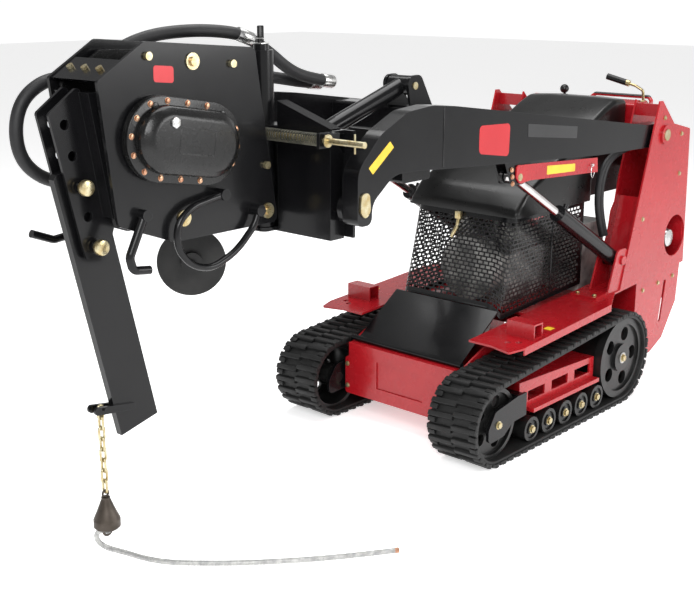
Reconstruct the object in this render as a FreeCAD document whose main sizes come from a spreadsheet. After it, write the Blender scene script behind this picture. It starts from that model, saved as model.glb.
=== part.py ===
import FreeCAD, Part
import math
import os
import re

from FreeCAD import Placement, Rotation, Vector

# A compact tracked utility loader that carries a vibratory cable plow. Millimetres, +Z up.
# The front faces -Y and the machine's left side is +X. Stations along Y are measured from
# the datum, a cross line under the operator's side of the engine; origin_y moves the whole
# machine so that the part's origin is under the middle of its length, on the ground.
# Heights are measured from the ground.

SIZES = {
    # clearances
    "gap": 0.3, "shaft_fit": 0.05, "origin_y": 697.2,
    # tracks
    "track_mid": 403, "track_width": 222, "track_thick": 28,
    "sprocket_y": 205, "sprocket_reach": 203, "idler_y": -715, "idler_reach": 165,
    "wheel_count": 5, "wheel_first_y": -478, "wheel_pitch": 122, "wheel_radius": 50,
    "wheel_half": 94, "rim_width": 64, "wheel_shaft": 14,
    "idler_half": 80, "idler_shaft": 20, "fork_plate": 12, "motor_radius": 56, "motor_shaft": 24,
    "beam_half": 64, "beam_front_y": -530, "beam_back_y": 20, "beam_low": 160, "beam_wall": 8,
    "skid_thick": 16, "skid_side": 498, "hanger_half": 25,
    # chassis
    "chassis_side": 284, "chassis_wall": 8, "chassis_floor": 100, "bed_top": 440, "nose_y": -691, "nose_thick": 36,
    "nose_half": 290, "nose_low": 97, "nose_top": 319, "deck_front_y": -606, "deck_front_z": 424,
    "deck_slope": 3.4, "deck_thick": 8, "deck_side": 500, "deck_back_y": 856, "guard_side": 420,
    "tube_size": 60, "tube_wall": 6, "tube_y": -436,
    # towers and covers
    "tower_in": 290, "tower_out": 430, "tower_wall": 8, "pivot_y": 587, "pivot_z": 1116, "pivot_pin": 25,
    "grille_half": 245, "grille_wall": 3, "hood_half": 273, "hood_wall": 4, "rear_hood_half": 232,
    # loader arms and cylinders
    "arm_in": 345, "arm_out": 410, "arm_wall": 8, "front_pin_y": -1366, "front_pin_z": 1053, "front_pin": 16,
    "cyl_mid": 378, "barrel_radius": 34, "rod_radius": 17.5, "eye_half": 18, "eye_radius": 30, "eye_pin": 14,
    "base_y": 292, "base_z": 605, "lift_y": -505, "lift_z": 1059, "barrel_length": 540, "rod_length": 600,
    "lug_in": 22, "lug_wall": 8, "base_lug_in": 38,
    "ear_y": -694, "ear_z": 1385, "ear_in": 50, "ear_wall": 12, "tilt_y": -1300, "tilt_z": 1190,
    "tilt_barrel": 520, "tilt_rod": 500, "tilt_radius": 32, "tilt_rod_radius": 15,
    # quick-attach plate and swing frame
    "plate_half": 340, "plate_back_y": -1334, "plate_thick": 10, "plate_low": 955, "plate_top": 1300,
    "frame_half": 300, "frame_wall": 8, "frame_front_y": -1408, "frame_low": 949, "frame_top": 1288,
    "king_y": -1415, "king_pin": 25, "sleeve_radius": 40, "king_top": 1560, "window_half": 62,
    "center_y": -1470, "center_z": 1281, "center_rod": 10, "center_end": 500, "spring_low": 60,
    "spring_high": 323, "spring_radius": 21,
    # plow
    "plow_half": 122, "plow_wall": 12, "carrier_half": 92, "carrier_wall": 12, "iso_radius": 27,
    "box_y": -1865, "box_z": 1300, "box_tilt": -9.6, "box_span": 85, "box_radius": 95, "box_wall": 9,
    "box_far": -95, "box_face": 140, "flange_span": 90, "flange_radius": 125, "flange_thick": 12,
    "cover_thick": 12, "cover_reach": 200, "shaft_radius": 18, "weight_radius": 80,
    "bracket_half": 35, "bracket_wall": 10, "blade_half": 12.7, "blade_width": 146, "blade_rake": 12.5,
    "blade_top_y": -2165, "blade_top_z": 1240, "blade_length": 850, "blade_pin": 15,
    "clevis_y": -2117, "clevis_z": 500, "clevis_pin": 4.5, "link_wire": 4, "link_half": 9, "link_pitch": 35,
    "link_count": 8, "bullet_radius": 42, "bullet_top": 206, "bullet_length": 104,
    "disc_y": -1738, "disc_z": 892, "disc_radius": 110, "disc_turn": 35, "disc_axle": 12,
    "hose_radius": 21, "mesh_radius": 8.5,
}

doc = FreeCAD.newDocument("cable_plow_loader")
sheet = doc.addObject("Spreadsheet::Sheet", "Sizes")
for row, (alias, value) in enumerate(SIZES.items(), start=1):
    sheet.set("A%d" % row, alias)
    sheet.set("B%d" % row, str(value))
    sheet.setAlias("B%d" % row, alias)
doc.recompute()


class Cells:
    """The sheet's values as attributes, for geometry that is worked out in code."""

    def __getattr__(self, alias):
        return float(sheet.get(alias))


S = Cells()
PARTS = {}
WORD = re.compile(r"[a-z][a-z_]+")


# ---------------------------------------------------------------- helpers

def bind(feature, prop, text):
    """Bind a property to an expression in which every size is named by its alias."""
    linked = WORD.sub(lambda word: "Sizes." + word.group() if word.group() in SIZES else word.group(),
                      str(text))
    feature.setExpression(prop, linked)


def place(feature, x=0, y=None, z=0, turn=None):
    """Put a feature at a station; a station along Y is measured from the datum."""
    if turn is not None:
        feature.Placement = Placement(Vector(), turn)
    bind(feature, "Placement.Base.x", x)
    bind(feature, "Placement.Base.y", "origin_y" if y is None else "(%s) + origin_y" % y)
    bind(feature, "Placement.Base.z", z)
    return feature


def block(x, y, z):
    """A box between pairs of low and high stations."""
    box = doc.addObject("Part::Box", "block")
    for prop, (low, high) in zip(("Length", "Width", "Height"), (x, y, z)):
        bind(box, prop, "(%s) - (%s)" % (high, low))
    return place(box, x[0], y[0], z[0])


AXES = {"X": Rotation(Vector(0, 0, 1), Vector(1, 0, 0)), "Y": Rotation(Vector(0, 0, 1), Vector(0, 1, 0)),
        "Z": Rotation()}


def bar(axis, radius, length, x, y, z):
    """A round bar that starts at a station and runs along an axis."""
    rod = doc.addObject("Part::Cylinder", "bar")
    bind(rod, "Radius", radius)
    bind(rod, "Height", length)
    return place(rod, x, y, z, AXES[axis])


def loop(points):
    """Edges of a closed outline; a point's third number, if it has one, rounds that corner."""
    corners = []
    count = len(points)
    for index, point in enumerate(points):
        here = Vector(point[0], point[1], 0)
        before = Vector(*points[index - 1][:2], 0)
        after = Vector(*points[(index + 1) % count][:2], 0)
        radius = point[2] if len(point) > 2 else 0
        corners.append(corner(before, here, after, radius))
    edges = []
    for index, (start, middle, end) in enumerate(corners):
        if middle is not None:
            edges.append(Part.Arc(start, middle, end))
        following = corners[(index + 1) % count][0]
        if (following - end).Length > 1e-6:
            edges.append(Part.LineSegment(end, following))
    return edges


def corner(before, here, after, radius):
    """Start, middle and end of the arc that rounds a corner, or the corner itself."""
    if not radius:
        return here, None, here
    inward = (before - here).normalize()
    outward = (after - here).normalize()
    half = inward.getAngle(outward) / 2
    cut = radius / math.tan(half)
    middle = (inward + outward).normalize()
    middle = here + middle * (radius / math.sin(half) - radius)
    return here + inward * cut, middle, here + outward * cut


def sketch_in(body, plane, loops, circles=()):
    """A sketch on one of the body's own origin planes."""
    flat = next(item for item in body.Origin.OriginFeatures if item.Role == plane)
    sketch = body.newObject("Sketcher::SketchObject", "outline")
    sketch.AttachmentSupport = [(flat, "")]
    sketch.MapMode = "FlatFace"
    for edges in loops:
        sketch.addGeometry(edges, False)
    for y, z, radius in circles:
        sketch.addGeometry(Part.Circle(Vector(y, z, 0), Vector(0, 0, 1), radius), False)
    return sketch


def plate(points, low, high, holes=(), windows=(), edges=None):
    """A plate cut to an outline in the YZ plane, from one X station to another."""
    body = doc.addObject("PartDesign::Body", "plate")
    loops = [edges or loop(points)] + [loop(window) if isinstance(window[0], tuple) else window
                                       for window in windows]
    sketch = sketch_in(body, "YZ_Plane", loops, holes)
    pad = body.newObject("PartDesign::Pad", "pad")
    pad.Profile = sketch
    bind(pad, "Length", "(%s) - (%s)" % (high, low))
    return place(body, low)


def turned(profile, y, z):
    """A wheel or shaft turned about a line along X; the profile holds X stations and radii."""
    body = doc.addObject("PartDesign::Body", "turned")
    sketch = sketch_in(body, "XZ_Plane", [loop(profile)])
    turn = body.newObject("PartDesign::Revolution", "turn")
    turn.Profile = sketch
    turn.ReferenceAxis = (sketch, ["H_Axis"])
    turn.Angle = 360
    return place(body, 0, y, z)


def mirror(feature):
    """The same piece on the machine's other side."""
    copy = doc.addObject("Part::Mirroring", "other_side")
    copy.Source = feature
    copy.Normal = Vector(1, 0, 0)
    return copy


def both(*features):
    return list(features) + [mirror(feature) for feature in features]


def weld(features):
    fused = doc.addObject("Part::MultiFuse", "weldment")
    fused.Shapes = features
    return fused


def cut(base, tools):
    result = doc.addObject("Part::Cut", "cut")
    result.Base = base
    result.Tool = tools[0] if len(tools) == 1 else weld(tools)
    return result


def group(features):
    bundle = doc.addObject("Part::Compound", "group")
    bundle.Links = features
    return bundle


def keep(label, feature):
    """Name a sub-part; its label becomes its file's name."""
    feature.Label = label
    PARTS[label] = feature


def solid(shape):
    """A shape made with Part's own functions, already at its station."""
    feature = doc.addObject("Part::Feature", "shaped")
    stand = shape.Placement
    feature.Shape = shape
    return place(feature, stand.Base.x, stand.Base.y, stand.Base.z, stand.Rotation)


def route(points, bend=None):
    """A path of straight runs joined by tangent arcs, with its arc radii."""
    stops = [Vector(*point) for point in points]
    edges, radii, last = [], [], stops[0]
    for before, here, after in zip(stops, stops[1:], stops[2:]):
        turn = (here - before).getAngle(after - here)
        run = min((here - before).Length, (after - here).Length)
        radius = bend or 0.45 * run / math.tan(turn / 2)
        start, middle, end = corner(before, here, after, radius)
        edges += [Part.LineSegment(last, start).toShape(), Part.Arc(start, middle, end).toShape()]
        radii.append(radius)
        last = end
    edges.append(Part.LineSegment(last, stops[-1]).toShape())
    return Part.Wire(edges), radii


def hose(name, points, radius, bend=None):
    """A round tube or bent rod along a route."""
    path, radii = route(points, bend)
    start = Vector(*points[0])
    ring = Part.Wire(Part.makeCircle(radius, start, Vector(*points[1]) - start))
    shape = Part.makeSolid(path.makePipeShell([ring], True, False))
    if shape.Volume < 0:
        shape.reverse()
    share = shape.Volume / (math.pi * radius * radius * path.Length)
    print(name, "radii", [round(value) for value in radii], "volume share", round(share, 4))
    return solid(shape)


def hollow_beam(points, low, high, wall):
    """A closed box beam of plate, from a YZ outline."""
    rim = Part.Face(Part.Wire([edge.toShape() for edge in loop(points)]))
    stand = Placement(Vector(), Rotation(Vector(1, 1, 1), 120))
    core = rim.makeOffset2D(-wall, 2, False, False, False)
    outer = rim.extrude(Vector(0, 0, high - low))
    inner = core.extrude(Vector(0, 0, high - low - 2 * wall)).translated(Vector(0, 0, wall))
    shape = outer.cut(inner).transformed(stand.toMatrix(), True)
    return solid(shape.translated(Vector(low, 0, 0)))


def stadium(y, z, span, radius, tilt):
    """A long round-ended outline, centred on a point and tilted from level."""
    along = Vector(math.cos(math.radians(tilt)), math.sin(math.radians(tilt)), 0)
    across = Vector(-along.y, along.x, 0)
    mid = Vector(y, z, 0)
    back, front = mid + along * span, mid - along * span
    low_back, high_back = back - across * radius, back + across * radius
    low_front, high_front = front - across * radius, front + across * radius
    return [Part.LineSegment(low_front, low_back), Part.Arc(low_back, back + along * radius, high_back),
            Part.LineSegment(high_back, high_front),
            Part.Arc(high_front, front - along * radius, low_front)]


def deck_top(y):
    """Height of the deck's upper face at a station."""
    return S.deck_front_z + (y - S.deck_front_y) * math.tan(math.radians(S.deck_slope))


# ---------------------------------------------------------------- tracks

def belt_loop(inset):
    """The closed loop round the idler and the sprocket, a distance inside the lugs' tips."""
    front = Vector(S.idler_y, S.idler_reach, 0)
    back = Vector(S.sprocket_y, S.sprocket_reach, 0)
    small, large = S.idler_reach - inset, S.sprocket_reach - inset
    along = (back - front).normalize()
    lean = (small - large) / (back - front).Length
    normal = along * lean + Vector(-along.y, along.x, 0) * math.sqrt(1 - lean * lean)
    down = Vector(0, -1, 0)
    points = [front + down * small, front + normal * small, back + normal * large, back + down * large]
    return [Part.Arc(points[0], front - Vector(small, 0, 0), points[1]),
            Part.LineSegment(points[1], points[2]),
            Part.Arc(points[2], back + Vector(large, 0, 0), points[3]),
            Part.LineSegment(points[3], points[0])]


def tracks():
    belt = plate(None, "track_mid - track_width / 2", "track_mid + track_width / 2",
                 edges=belt_loop(0), windows=[belt_loop(S.track_thick)])
    keep("track_left", belt)
    keep("track_right", mirror(belt))


def windows_in(wheel, y, z, ring, radius, low, count):
    """Round windows through a wheel's web."""
    turns = [2 * math.pi * index / count for index in range(count)]
    tools = [bar("X", radius, 60, low, y + ring * math.cos(turn), z + ring * math.sin(turn)) for turn in turns]
    return cut(wheel, tools)


def sprockets():
    low, high = S.track_mid - S.wheel_half, S.track_mid + S.wheel_half
    rim = S.sprocket_reach - S.track_thick - S.gap
    drum, bore = rim - 18, S.motor_shaft + S.shaft_fit
    profile = [(low, drum - 10), (low, rim), (low + 36, rim), (low + 36, drum), (high - 36, drum),
               (high - 36, rim), (high, rim), (high, drum - 10), (high - 11, drum - 10), (high - 11, 60),
               (high + 3, 60), (high + 3, bore), (high - 57, bore), (high - 57, 60), (high - 27, 60),
               (high - 27, drum - 10)]
    wheel = turned(profile, "sprocket_y", "sprocket_reach")
    wheel = windows_in(wheel, S.sprocket_y, S.sprocket_reach, 103, 30, high - 40, 5)
    keep("sprocket_left", wheel)
    keep("sprocket_right", mirror(wheel))


def idlers():
    low, high = S.track_mid - S.idler_half, S.track_mid + S.idler_half
    rim = S.idler_reach - S.track_thick - S.gap
    end = S.fork_plate + 8
    profile = [(low - end, 0), (low - end, S.idler_shaft), (low + 12, S.idler_shaft), (low + 12, 45),
               (high - 28, 45), (high - 28, rim - 15), (low, rim - 15), (low, rim), (high, rim),
               (high, rim - 15), (high - 14, rim - 15), (high - 14, 45), (high, 45), (high, S.idler_shaft),
               (high + end, S.idler_shaft), (high + end, 0)]
    wheel = turned(profile, "idler_y", "idler_reach")
    wheel = windows_in(wheel, S.idler_y, S.idler_reach, 83, 24, high - 50, 5)
    keep("idler_left", wheel)
    keep("idler_right", mirror(wheel))


def wheel_y(index):
    return "wheel_first_y + %d * wheel_pitch" % index


def road_wheels():
    low, high = S.track_mid - S.wheel_half, S.track_mid + S.wheel_half
    inner, outer, rim = low + S.rim_width, high - S.rim_width, S.wheel_radius - S.gap
    profile = [(low, 0), (low, 22), (low + 7, 22), (low + 7, 38), (low, 38), (low, rim), (inner, rim),
               (inner, S.wheel_shaft), (outer, S.wheel_shaft), (outer, rim), (high, rim), (high, 38),
               (high - 7, 38), (high - 7, 22), (high, 22), (high, 0)]
    for index in range(int(S.wheel_count)):
        wheel = turned(profile, wheel_y(index), "track_thick + wheel_radius")
        keep("road_wheel_left_%d" % (index + 1), wheel)
        keep("road_wheel_right_%d" % (index + 1), mirror(wheel))


def track_frames():
    """A box beam inside each track, with a skid plate that the road wheels hang from."""
    low, high = "track_mid - beam_half", "track_mid + beam_half"
    top = 248
    beam_outline = [(S.beam_front_y, S.beam_low), (S.beam_front_y, top + 24), (S.beam_back_y, top),
                    (S.beam_back_y, S.beam_low)]
    beam = plate(beam_outline, low, high)
    core = block((low + " + beam_wall", high + " - beam_wall"), ("beam_front_y - 10", "beam_back_y + 10"),
                 ("beam_low + beam_wall", top - 12))
    slots = [block((high + " - 20", high + " + 20"), (y, y + 120), (185, 225)) for y in (-470, -300, -130)]
    skid = block((low, "skid_side"), (-470, "beam_back_y"), ("beam_low - skid_thick", "beam_low"))
    ties = [block(("chassis_side", low), (y, y + 90), (175, 240)) for y in (-440, -110)]
    hangers = []
    for index in range(int(S.wheel_count)):
        y = wheel_y(index)
        hanger = block(("track_mid - hanger_half", "track_mid + hanger_half"), (y + " - 24", y + " + 24"),
                       ("track_thick + wheel_radius - 20", "beam_low - skid_thick"))
        hangers.append(hanger)
    bores = [bar("X", "wheel_shaft + shaft_fit", 80, "track_mid - 40", wheel_y(index),
                 "track_thick + wheel_radius") for index in range(int(S.wheel_count))]
    frame = cut(weld([beam, skid] + ties + hangers), [core] + slots + bores)
    keep("track_frames", group(both(frame)))


def idler_forks():
    """The fork that carries each front idler, on a tension tube in the track frame."""
    outline = [(-777, 105, 20), (-777, 160, 20), (-735, 222, 20), (-590, 246), (-532, 246), (-532, 155),
               (-620, 150, 30), (-680, 110, 30)]
    near = plate(outline, "track_mid + idler_half + 8", "track_mid + idler_half + fork_plate + 8")
    far = plate(outline, "track_mid - idler_half - fork_plate - 8", "track_mid - idler_half - 8")
    back = block(("track_mid - idler_half - 8", "track_mid + idler_half + 8"), (-572, -532), (160, 240))
    tube = bar("Y", 26, 140, "track_mid", -540, 204)
    bore = bar("X", "idler_shaft + shaft_fit", 240, "track_mid - 120", "idler_y", "idler_reach")
    fork = cut(weld([near, far, back, tube]), [bore])
    keep("idler_forks", group(both(fork)))


# ---------------------------------------------------------------- chassis

def main_frame():
    """The chassis tub: side plates, floor, cross plates and the guard behind the tracks."""
    under = S.deck_thick + S.gap
    side_outline = [(-655, S.chassis_floor), (-655, 312), (-600, 338), (-430, 402),
                    (-420, deck_top(-420) - under), (440, deck_top(440) - under), (440, S.chassis_floor)]
    side = plate(side_outline, "chassis_side - chassis_wall", "chassis_side")
    guard_outline = [(440, deck_top(440) - under), (844, deck_top(844) - under), (830, 318), (716, 162),
                     (607, 115), (440, 115)]
    slot = [(700, 440, 10), (722, 440, 10), (690, 245, 10), (668, 245, 10)]
    guard = plate(guard_outline, "guard_side - chassis_wall", "guard_side", windows=[slot])
    wing = block(("chassis_side - chassis_wall", "guard_side - chassis_wall"), (440, 448),
                 ("chassis_floor + 15", deck_top(440) - under))
    floor = block(("-chassis_side", "chassis_side"), (-655, 448), ("chassis_floor", "chassis_floor + 8"))
    back_outline = [(822, 318), (830, 318), (844, deck_top(844) - under), (836, deck_top(836) - under)]
    back = plate(back_outline, "-guard_side + chassis_wall", "guard_side - chassis_wall")
    cross = [block(("-chassis_side + chassis_wall", "chassis_side - chassis_wall"), (y, y + 10),
                   ("chassis_floor + 8", 380)) for y in (-420, 200)]
    bed = block(("-chassis_side + chassis_wall", "chassis_side - chassis_wall"), (-200, 448),
                ("bed_top - 10", "bed_top"))
    bores = [bar("X", "motor_radius - 16", 600, -300, "sprocket_y", "sprocket_reach")]
    keep("main_frame", cut(weld(both(side, guard, wing) + [floor, back, bed] + cross), bores))


def front_panel():
    """The cast nose panel, with a blank recessed field."""
    outline = [(-S.nose_half, S.nose_low, 12), (S.nose_half, S.nose_low, 12), (S.nose_half, 250),
               (270, 262), (270, S.nose_top), (-270, S.nose_top), (-270, 262), (-S.nose_half, 250)]
    body = doc.addObject("PartDesign::Body", "nose")
    sketch = sketch_in(body, "XZ_Plane", [loop(outline)])
    pad = body.newObject("PartDesign::Pad", "pad")
    pad.Profile = sketch
    bind(pad, "Length", "nose_thick")
    place(body, 0, "nose_y + nose_thick")
    field = block((-120, 120), ("nose_y - 5", "nose_y + 6"), (150, 265))
    lip = block((-270, 270), ("nose_y + nose_thick", -640), ("nose_top - 6", "nose_top"))
    keep("front_panel", cut(weld([body, lip]), [field]))


def front_ramp():
    """The black folded cover that slopes up from the nose to the grille."""
    thick = 5
    outline = [(-655, 319), (-642, 327), (-397, 490), (-397 + thick, 490), (-397 + thick, 486), (-640, 322),
               (-650, 319)]
    fold = plate(outline, -262, 262)
    roll = bar("X", 12, 560, -280, -652, 331)
    keep("front_ramp", weld([fold, roll]))


def deck_fenders():
    """The sloping deck over each track, its folded edge, and a tie-down tube."""
    plan = [(276, 0), (380, 0, 8), (478, -24, 8), (S.deck_side, 50), (S.deck_side, 690),
            (S.guard_side + 10, 840), (S.guard_side + 10, 1464), (276, 1464)]
    body = doc.addObject("PartDesign::Body", "deck")
    holes = [(410, 66, 12), (445, 90, 12)]
    sketch = sketch_in(body, "XY_Plane", [loop(plan)], holes)
    pad = body.newObject("PartDesign::Pad", "pad")
    pad.Profile = sketch
    pad.Reversed = True
    bind(pad, "Length", "deck_thick")
    place(body, 0, "deck_front_y", "deck_front_z", Rotation(Vector(1, 0, 0), S.deck_slope))
    lip_outline = [(-556, deck_top(-556) - 30), (-556, deck_top(-556) - 4), (84, deck_top(84) - 4),
                   (84, deck_top(84) - 30)]
    lip = plate(lip_outline, "deck_side - 6", "deck_side")
    level = deck_top(S.tube_y) - 2
    half, wall = "tube_size / 2", "tube_wall"
    tube = block((355, 480), ("tube_y - " + half, "tube_y + " + half), (level, "%s + tube_size" % level))
    hole = block((340, 490), ("tube_y - %s + %s" % (half, wall), "tube_y + %s - %s" % (half, wall)),
                 ("%s + %s" % (level, wall), "%s + tube_size - %s" % (level, wall)))
    left = cut(weld([body, lip, tube]), [hole])
    keep("deck_fenders", group(both(left)))


def tower_front(z):
    """Station of the tower's sloping front edge at a height."""
    return 276 + (z - 476) * 248 / 789


def towers():
    """The plate towers that carry the arm pivots, with the lift cylinders' base lugs."""
    seat = deck_top
    outline = [(276, seat(276)), (524, 1265, 4), (548, 1265, 4), (668, 1158, 6), (825, 1124, 14),
               (856, seat(856))]
    access = (749, 643, 95)
    bore = (S.pivot_y, S.pivot_z, S.pivot_pin + S.shaft_fit)
    outer = plate(outline, "tower_out - tower_wall", "tower_out", holes=[access, bore])
    inner_outline = [(300, seat(300)), (385, 710), (400, 790, 30), (430, 830, 30), (451, 936), (560, 1262),
                     (668, 1158, 6), (825, 1124, 14), (856, seat(856))]
    inner = plate(inner_outline, "tower_in", "tower_in + tower_wall", holes=[bore])
    gap_low, gap_high = "tower_in + tower_wall", "tower_out - tower_wall"
    back = plate([(812, 1124), (825, 1124), (856, seat(856)), (843, seat(843))], gap_low, gap_high)
    set_back = 75
    foot = plate([(276 + set_back, seat(276 + set_back)), (288 + set_back, seat(288 + set_back)),
                  (tower_front(850) + 12 + set_back, 850), (tower_front(850) + set_back, 850)], gap_low, gap_high)
    shoulder = block((gap_low, gap_high), (556, 564), (1195, 1248))
    shoe = plate([(90, seat(90)), (90, seat(90) + 12), (345, seat(345) + 12), (345, seat(345))], gap_low, gap_high)
    boss = bar("X", 42, 10, "tower_out", "pivot_y", "pivot_z")
    inner_boss = bar("X", 42, 10, "tower_in + tower_wall", "pivot_y", "pivot_z")
    outer_boss = bar("X", 42, 10, "tower_out - tower_wall - 10", "pivot_y", "pivot_z")
    lug_outline = [(180, seat(180)), (250, 655, 30), (330, 655, 30), (345, seat(345))]
    lug_far = plate(lug_outline, "cyl_mid - base_lug_in - lug_wall", "cyl_mid - base_lug_in")
    lug_near = plate(lug_outline, "cyl_mid + base_lug_in", "cyl_mid + base_lug_in + lug_wall")
    stub = bar("X", 20, 8, "cyl_mid + base_lug_in + lug_wall", "base_y", "base_z")
    drill = bar("X", "pivot_pin + shaft_fit", 200, "tower_in - 10", "pivot_y", "pivot_z")
    frame = weld([outer, inner, back, foot, shoulder, shoe, boss, inner_boss, outer_boss, lug_far, lug_near, stub])
    keep("towers", group(both(cut(frame, [drill]))))


# ---------------------------------------------------------------- engine and covers

def engine():
    """The engine block: a crankcase and two finned cylinders in a vee."""
    crankcase = block((-140, 140), (-180, 110), (470, 660))
    sump = block((-110, 110), (-150, 90), ("bed_top", 475))
    intake = block((-30, 30), (-70, -10), (640, 740))
    cylinders = []
    for side in (-1, 1):
        lean = Rotation(Vector(0, 1, 0), 42 * side)
        across = Vector(side * math.sin(math.radians(42)), 0, math.cos(math.radians(42)))
        for index in range(9):
            centre = Vector(side * 40, -60, 640) + across * (20 + 15 * index)
            fin = doc.addObject("Part::Box", "fin")
            fin.Length, fin.Width, fin.Height = 120, 150, 5
            corner_at = centre - lean.multVec(Vector(60, 75, 0))
            place(fin, corner_at.x, corner_at.y, corner_at.z, lean)
            cylinders.append(fin)
        barrel = doc.addObject("Part::Cylinder", "cylinder")
        barrel.Radius, barrel.Height = 45, 170
        place(barrel, side * 40, -60, 640, lean)
        cylinders.append(barrel)
    keep("engine_block", weld([crankcase, sump, intake] + cylinders))


def engine_fittings():
    """Separate pieces that serve the engine: fan shroud, muffler, air cleaner, battery, fuel tank,
    hydraulic pump and the two track motors with their shafts."""
    shroud = cut(bar("Y", 135, 75, 0, -255, 600), [bar("Y", 70, 20, 0, -260, 600)])
    muffler = weld([bar("X", 42, 330, -165, 100, 830), bar("Z", 18, 140, 0, 85, 660)])
    cleaner = bar("Y", 60, 150, 0, -100, 905)
    cleaner_neck = bar("Z", 24, 120, 0, -40, 740)
    battery = block((-200, -20), (280, 420), ("bed_top", 690))
    tank = block((20, 240), (250, 440), ("bed_top", 740))
    cleaner = weld([cleaner, cleaner_neck])
    pump = weld([block((-70, 70), (130, 230), ("bed_top", 640)), bar("Y", 40, 25, 0, 110, 570)])
    flange, end = S.motor_radius + 24, S.track_mid + S.wheel_half + 6
    profile = [(S.chassis_side, 0), (S.chassis_side, flange), (S.chassis_side + 14, flange),
               (S.chassis_side + 14, S.motor_radius), (420, S.motor_radius), (420, S.motor_shaft),
               (end, S.motor_shaft), (end, 0)]
    motor = turned(profile, "sprocket_y", "sprocket_reach")
    inner = bar("X", "motor_radius - 18", 70, "chassis_side - 70", "sprocket_y", "sprocket_reach")
    motors = both(weld([motor, inner]))
    keep("engine_fittings", group([shroud, muffler, cleaner, battery, tank, pump] + motors))


def covers():
    """The perforated engine guard, the two hoods and the operator's console."""
    base = deck_top
    side_outline = [(-391.7, 492), (-386, base(-386)), (255, base(255)), (255, 790), (0, 800), (-294, 849)]
    side = plate(side_outline, "grille_half - grille_wall", "grille_half")
    front = plate([(-391.7, 492), (-388.7, 492), (-288, 860), (-291, 860)], "-grille_half", "grille_half")
    keep("grille_guard", weld(both(side) + [front]))

    hood_outer = [(-305, 851), (-305, 878, 15), (-236, 950, 60), (60, 1090, 200), (269.7, 1158), (269.7, 851)]
    hood_inner = [(-294, 840), (-294, 874, 8), (-234, 945, 56), (61, 1085, 200), (264, 1152), (264, 840)]
    skin = plate(hood_outer, "-hood_half", "hood_half")
    hollow = plate(hood_inner, "-hood_half + hood_wall", "hood_half - hood_wall")
    keep("front_hood", cut(skin, [hollow]))

    rear_outer = [(270, 860), (270, 1150), (330, 1190, 60), (505, 1268, 40), (601.7, 1258, 15), (601.7, 860)]
    rear_inner = [(274, 850), (274, 1147), (332, 1186, 56), (506, 1264, 36), (594, 1254, 11), (594, 850)]
    rear_skin = plate(rear_outer, "-rear_hood_half", "rear_hood_half")
    rear_hollow = plate(rear_inner, "-rear_hood_half + hood_wall", "rear_hood_half - hood_wall")
    keep("rear_hood", cut(rear_skin, [rear_hollow]))

    desk = plate([(602, 960), (602, 1235, 12), (665, 1250, 12), (800, 1150, 12), (800, 960)],
                 "-tower_in", "tower_in")
    bar_route = [(-60, 760, 1165), (-60, 786, 1236), (-42, 794, 1252), (232, 794, 1252), (250, 786, 1236),
                 (250, 760, 1165)]
    grab = hose("grab bar", bar_route, 9, 12)
    pockets = [block((-188, -144), (690, 765), (1165, 1290)), block((258, 286), (640, 705), (1215, 1290))]
    drills = [bar("X", 5.05, 54, -193, 725, 1188), bar("X", 5.05, 44, 250, 670, 1240)]
    keep("control_console", weld([cut(desk, pockets + drills), grab]))


def levers():
    """The ball-knob traction lever and the gripped attachment lever, each on its own pivot."""
    stem = hose("traction lever", [(-166, 724, 1194), (-166, 722, 1236), (-166, 716, 1262)], 6, 25)
    ball = doc.addObject("Part::Sphere", "knob")
    ball.Radius = 21
    place(ball, -166, 715, 1272)
    hub = weld([bar("X", 14, 30, -181, 725, 1188), bar("X", 5, 50, -191, 725, 1188)])
    keep("traction_lever", weld([stem, ball, hub]))
    rise = hose("attachment lever", [(272, 668, 1245), (272, 660, 1292), (240, 648, 1312), (180, 640, 1328)], 6, 18)
    grip = doc.addObject("Part::Cylinder", "grip")
    grip.Radius, grip.Height = 14, 110
    place(grip, 212, 644, 1320, Rotation(Vector(0, 0, 1), Vector(-60, -8, 16)))
    lever_hub = weld([bar("X", 12, 14, 265, 670, 1240), bar("X", 5, 36, 253, 670, 1240)])
    keep("attachment_lever", weld([rise, grip, lever_hub]))


def chassis_bolts():
    """Bolt heads of the chassis, one group of separate solids."""
    heads = []
    for x in (-278, 278):
        for z in (130, 225):
            heads.append(bar("Y", 9, 6, x, "nose_y - 6", z))
    for y, z in ((435, 764), (743, 1107), (749, 928), (575, 1190)):
        heads += both(bar("X", 10, 7, "tower_out", y, z))
    for x in (320, 400):
        heads += both(bar("Z", 9, 12, x, 112, deck_top(112) + 12.8))
    for y in (500, 640, 780):
        heads += both(bar("X", 10, 7, "guard_side", y, deck_top(y) - 60))
    keep("chassis_bolts", group(heads))


# ---------------------------------------------------------------- loader arms

ARM_OUTLINE = [(-1400, 1006, 24), (-1400, 1185, 90), (-1290, 1290, 120), (-1157, 1350, 120),
               (-1030, 1361, 200), (-900, 1349), (454, 1168), (640, 1166, 46), (640, 1066, 46), (420, 1071),
               (64, 1080), (-950, 1141), (-1105, 1153), (-1225, 1153, 110), (-1330, 1075, 60),
               (-1334, 1006, 24)]


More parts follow.
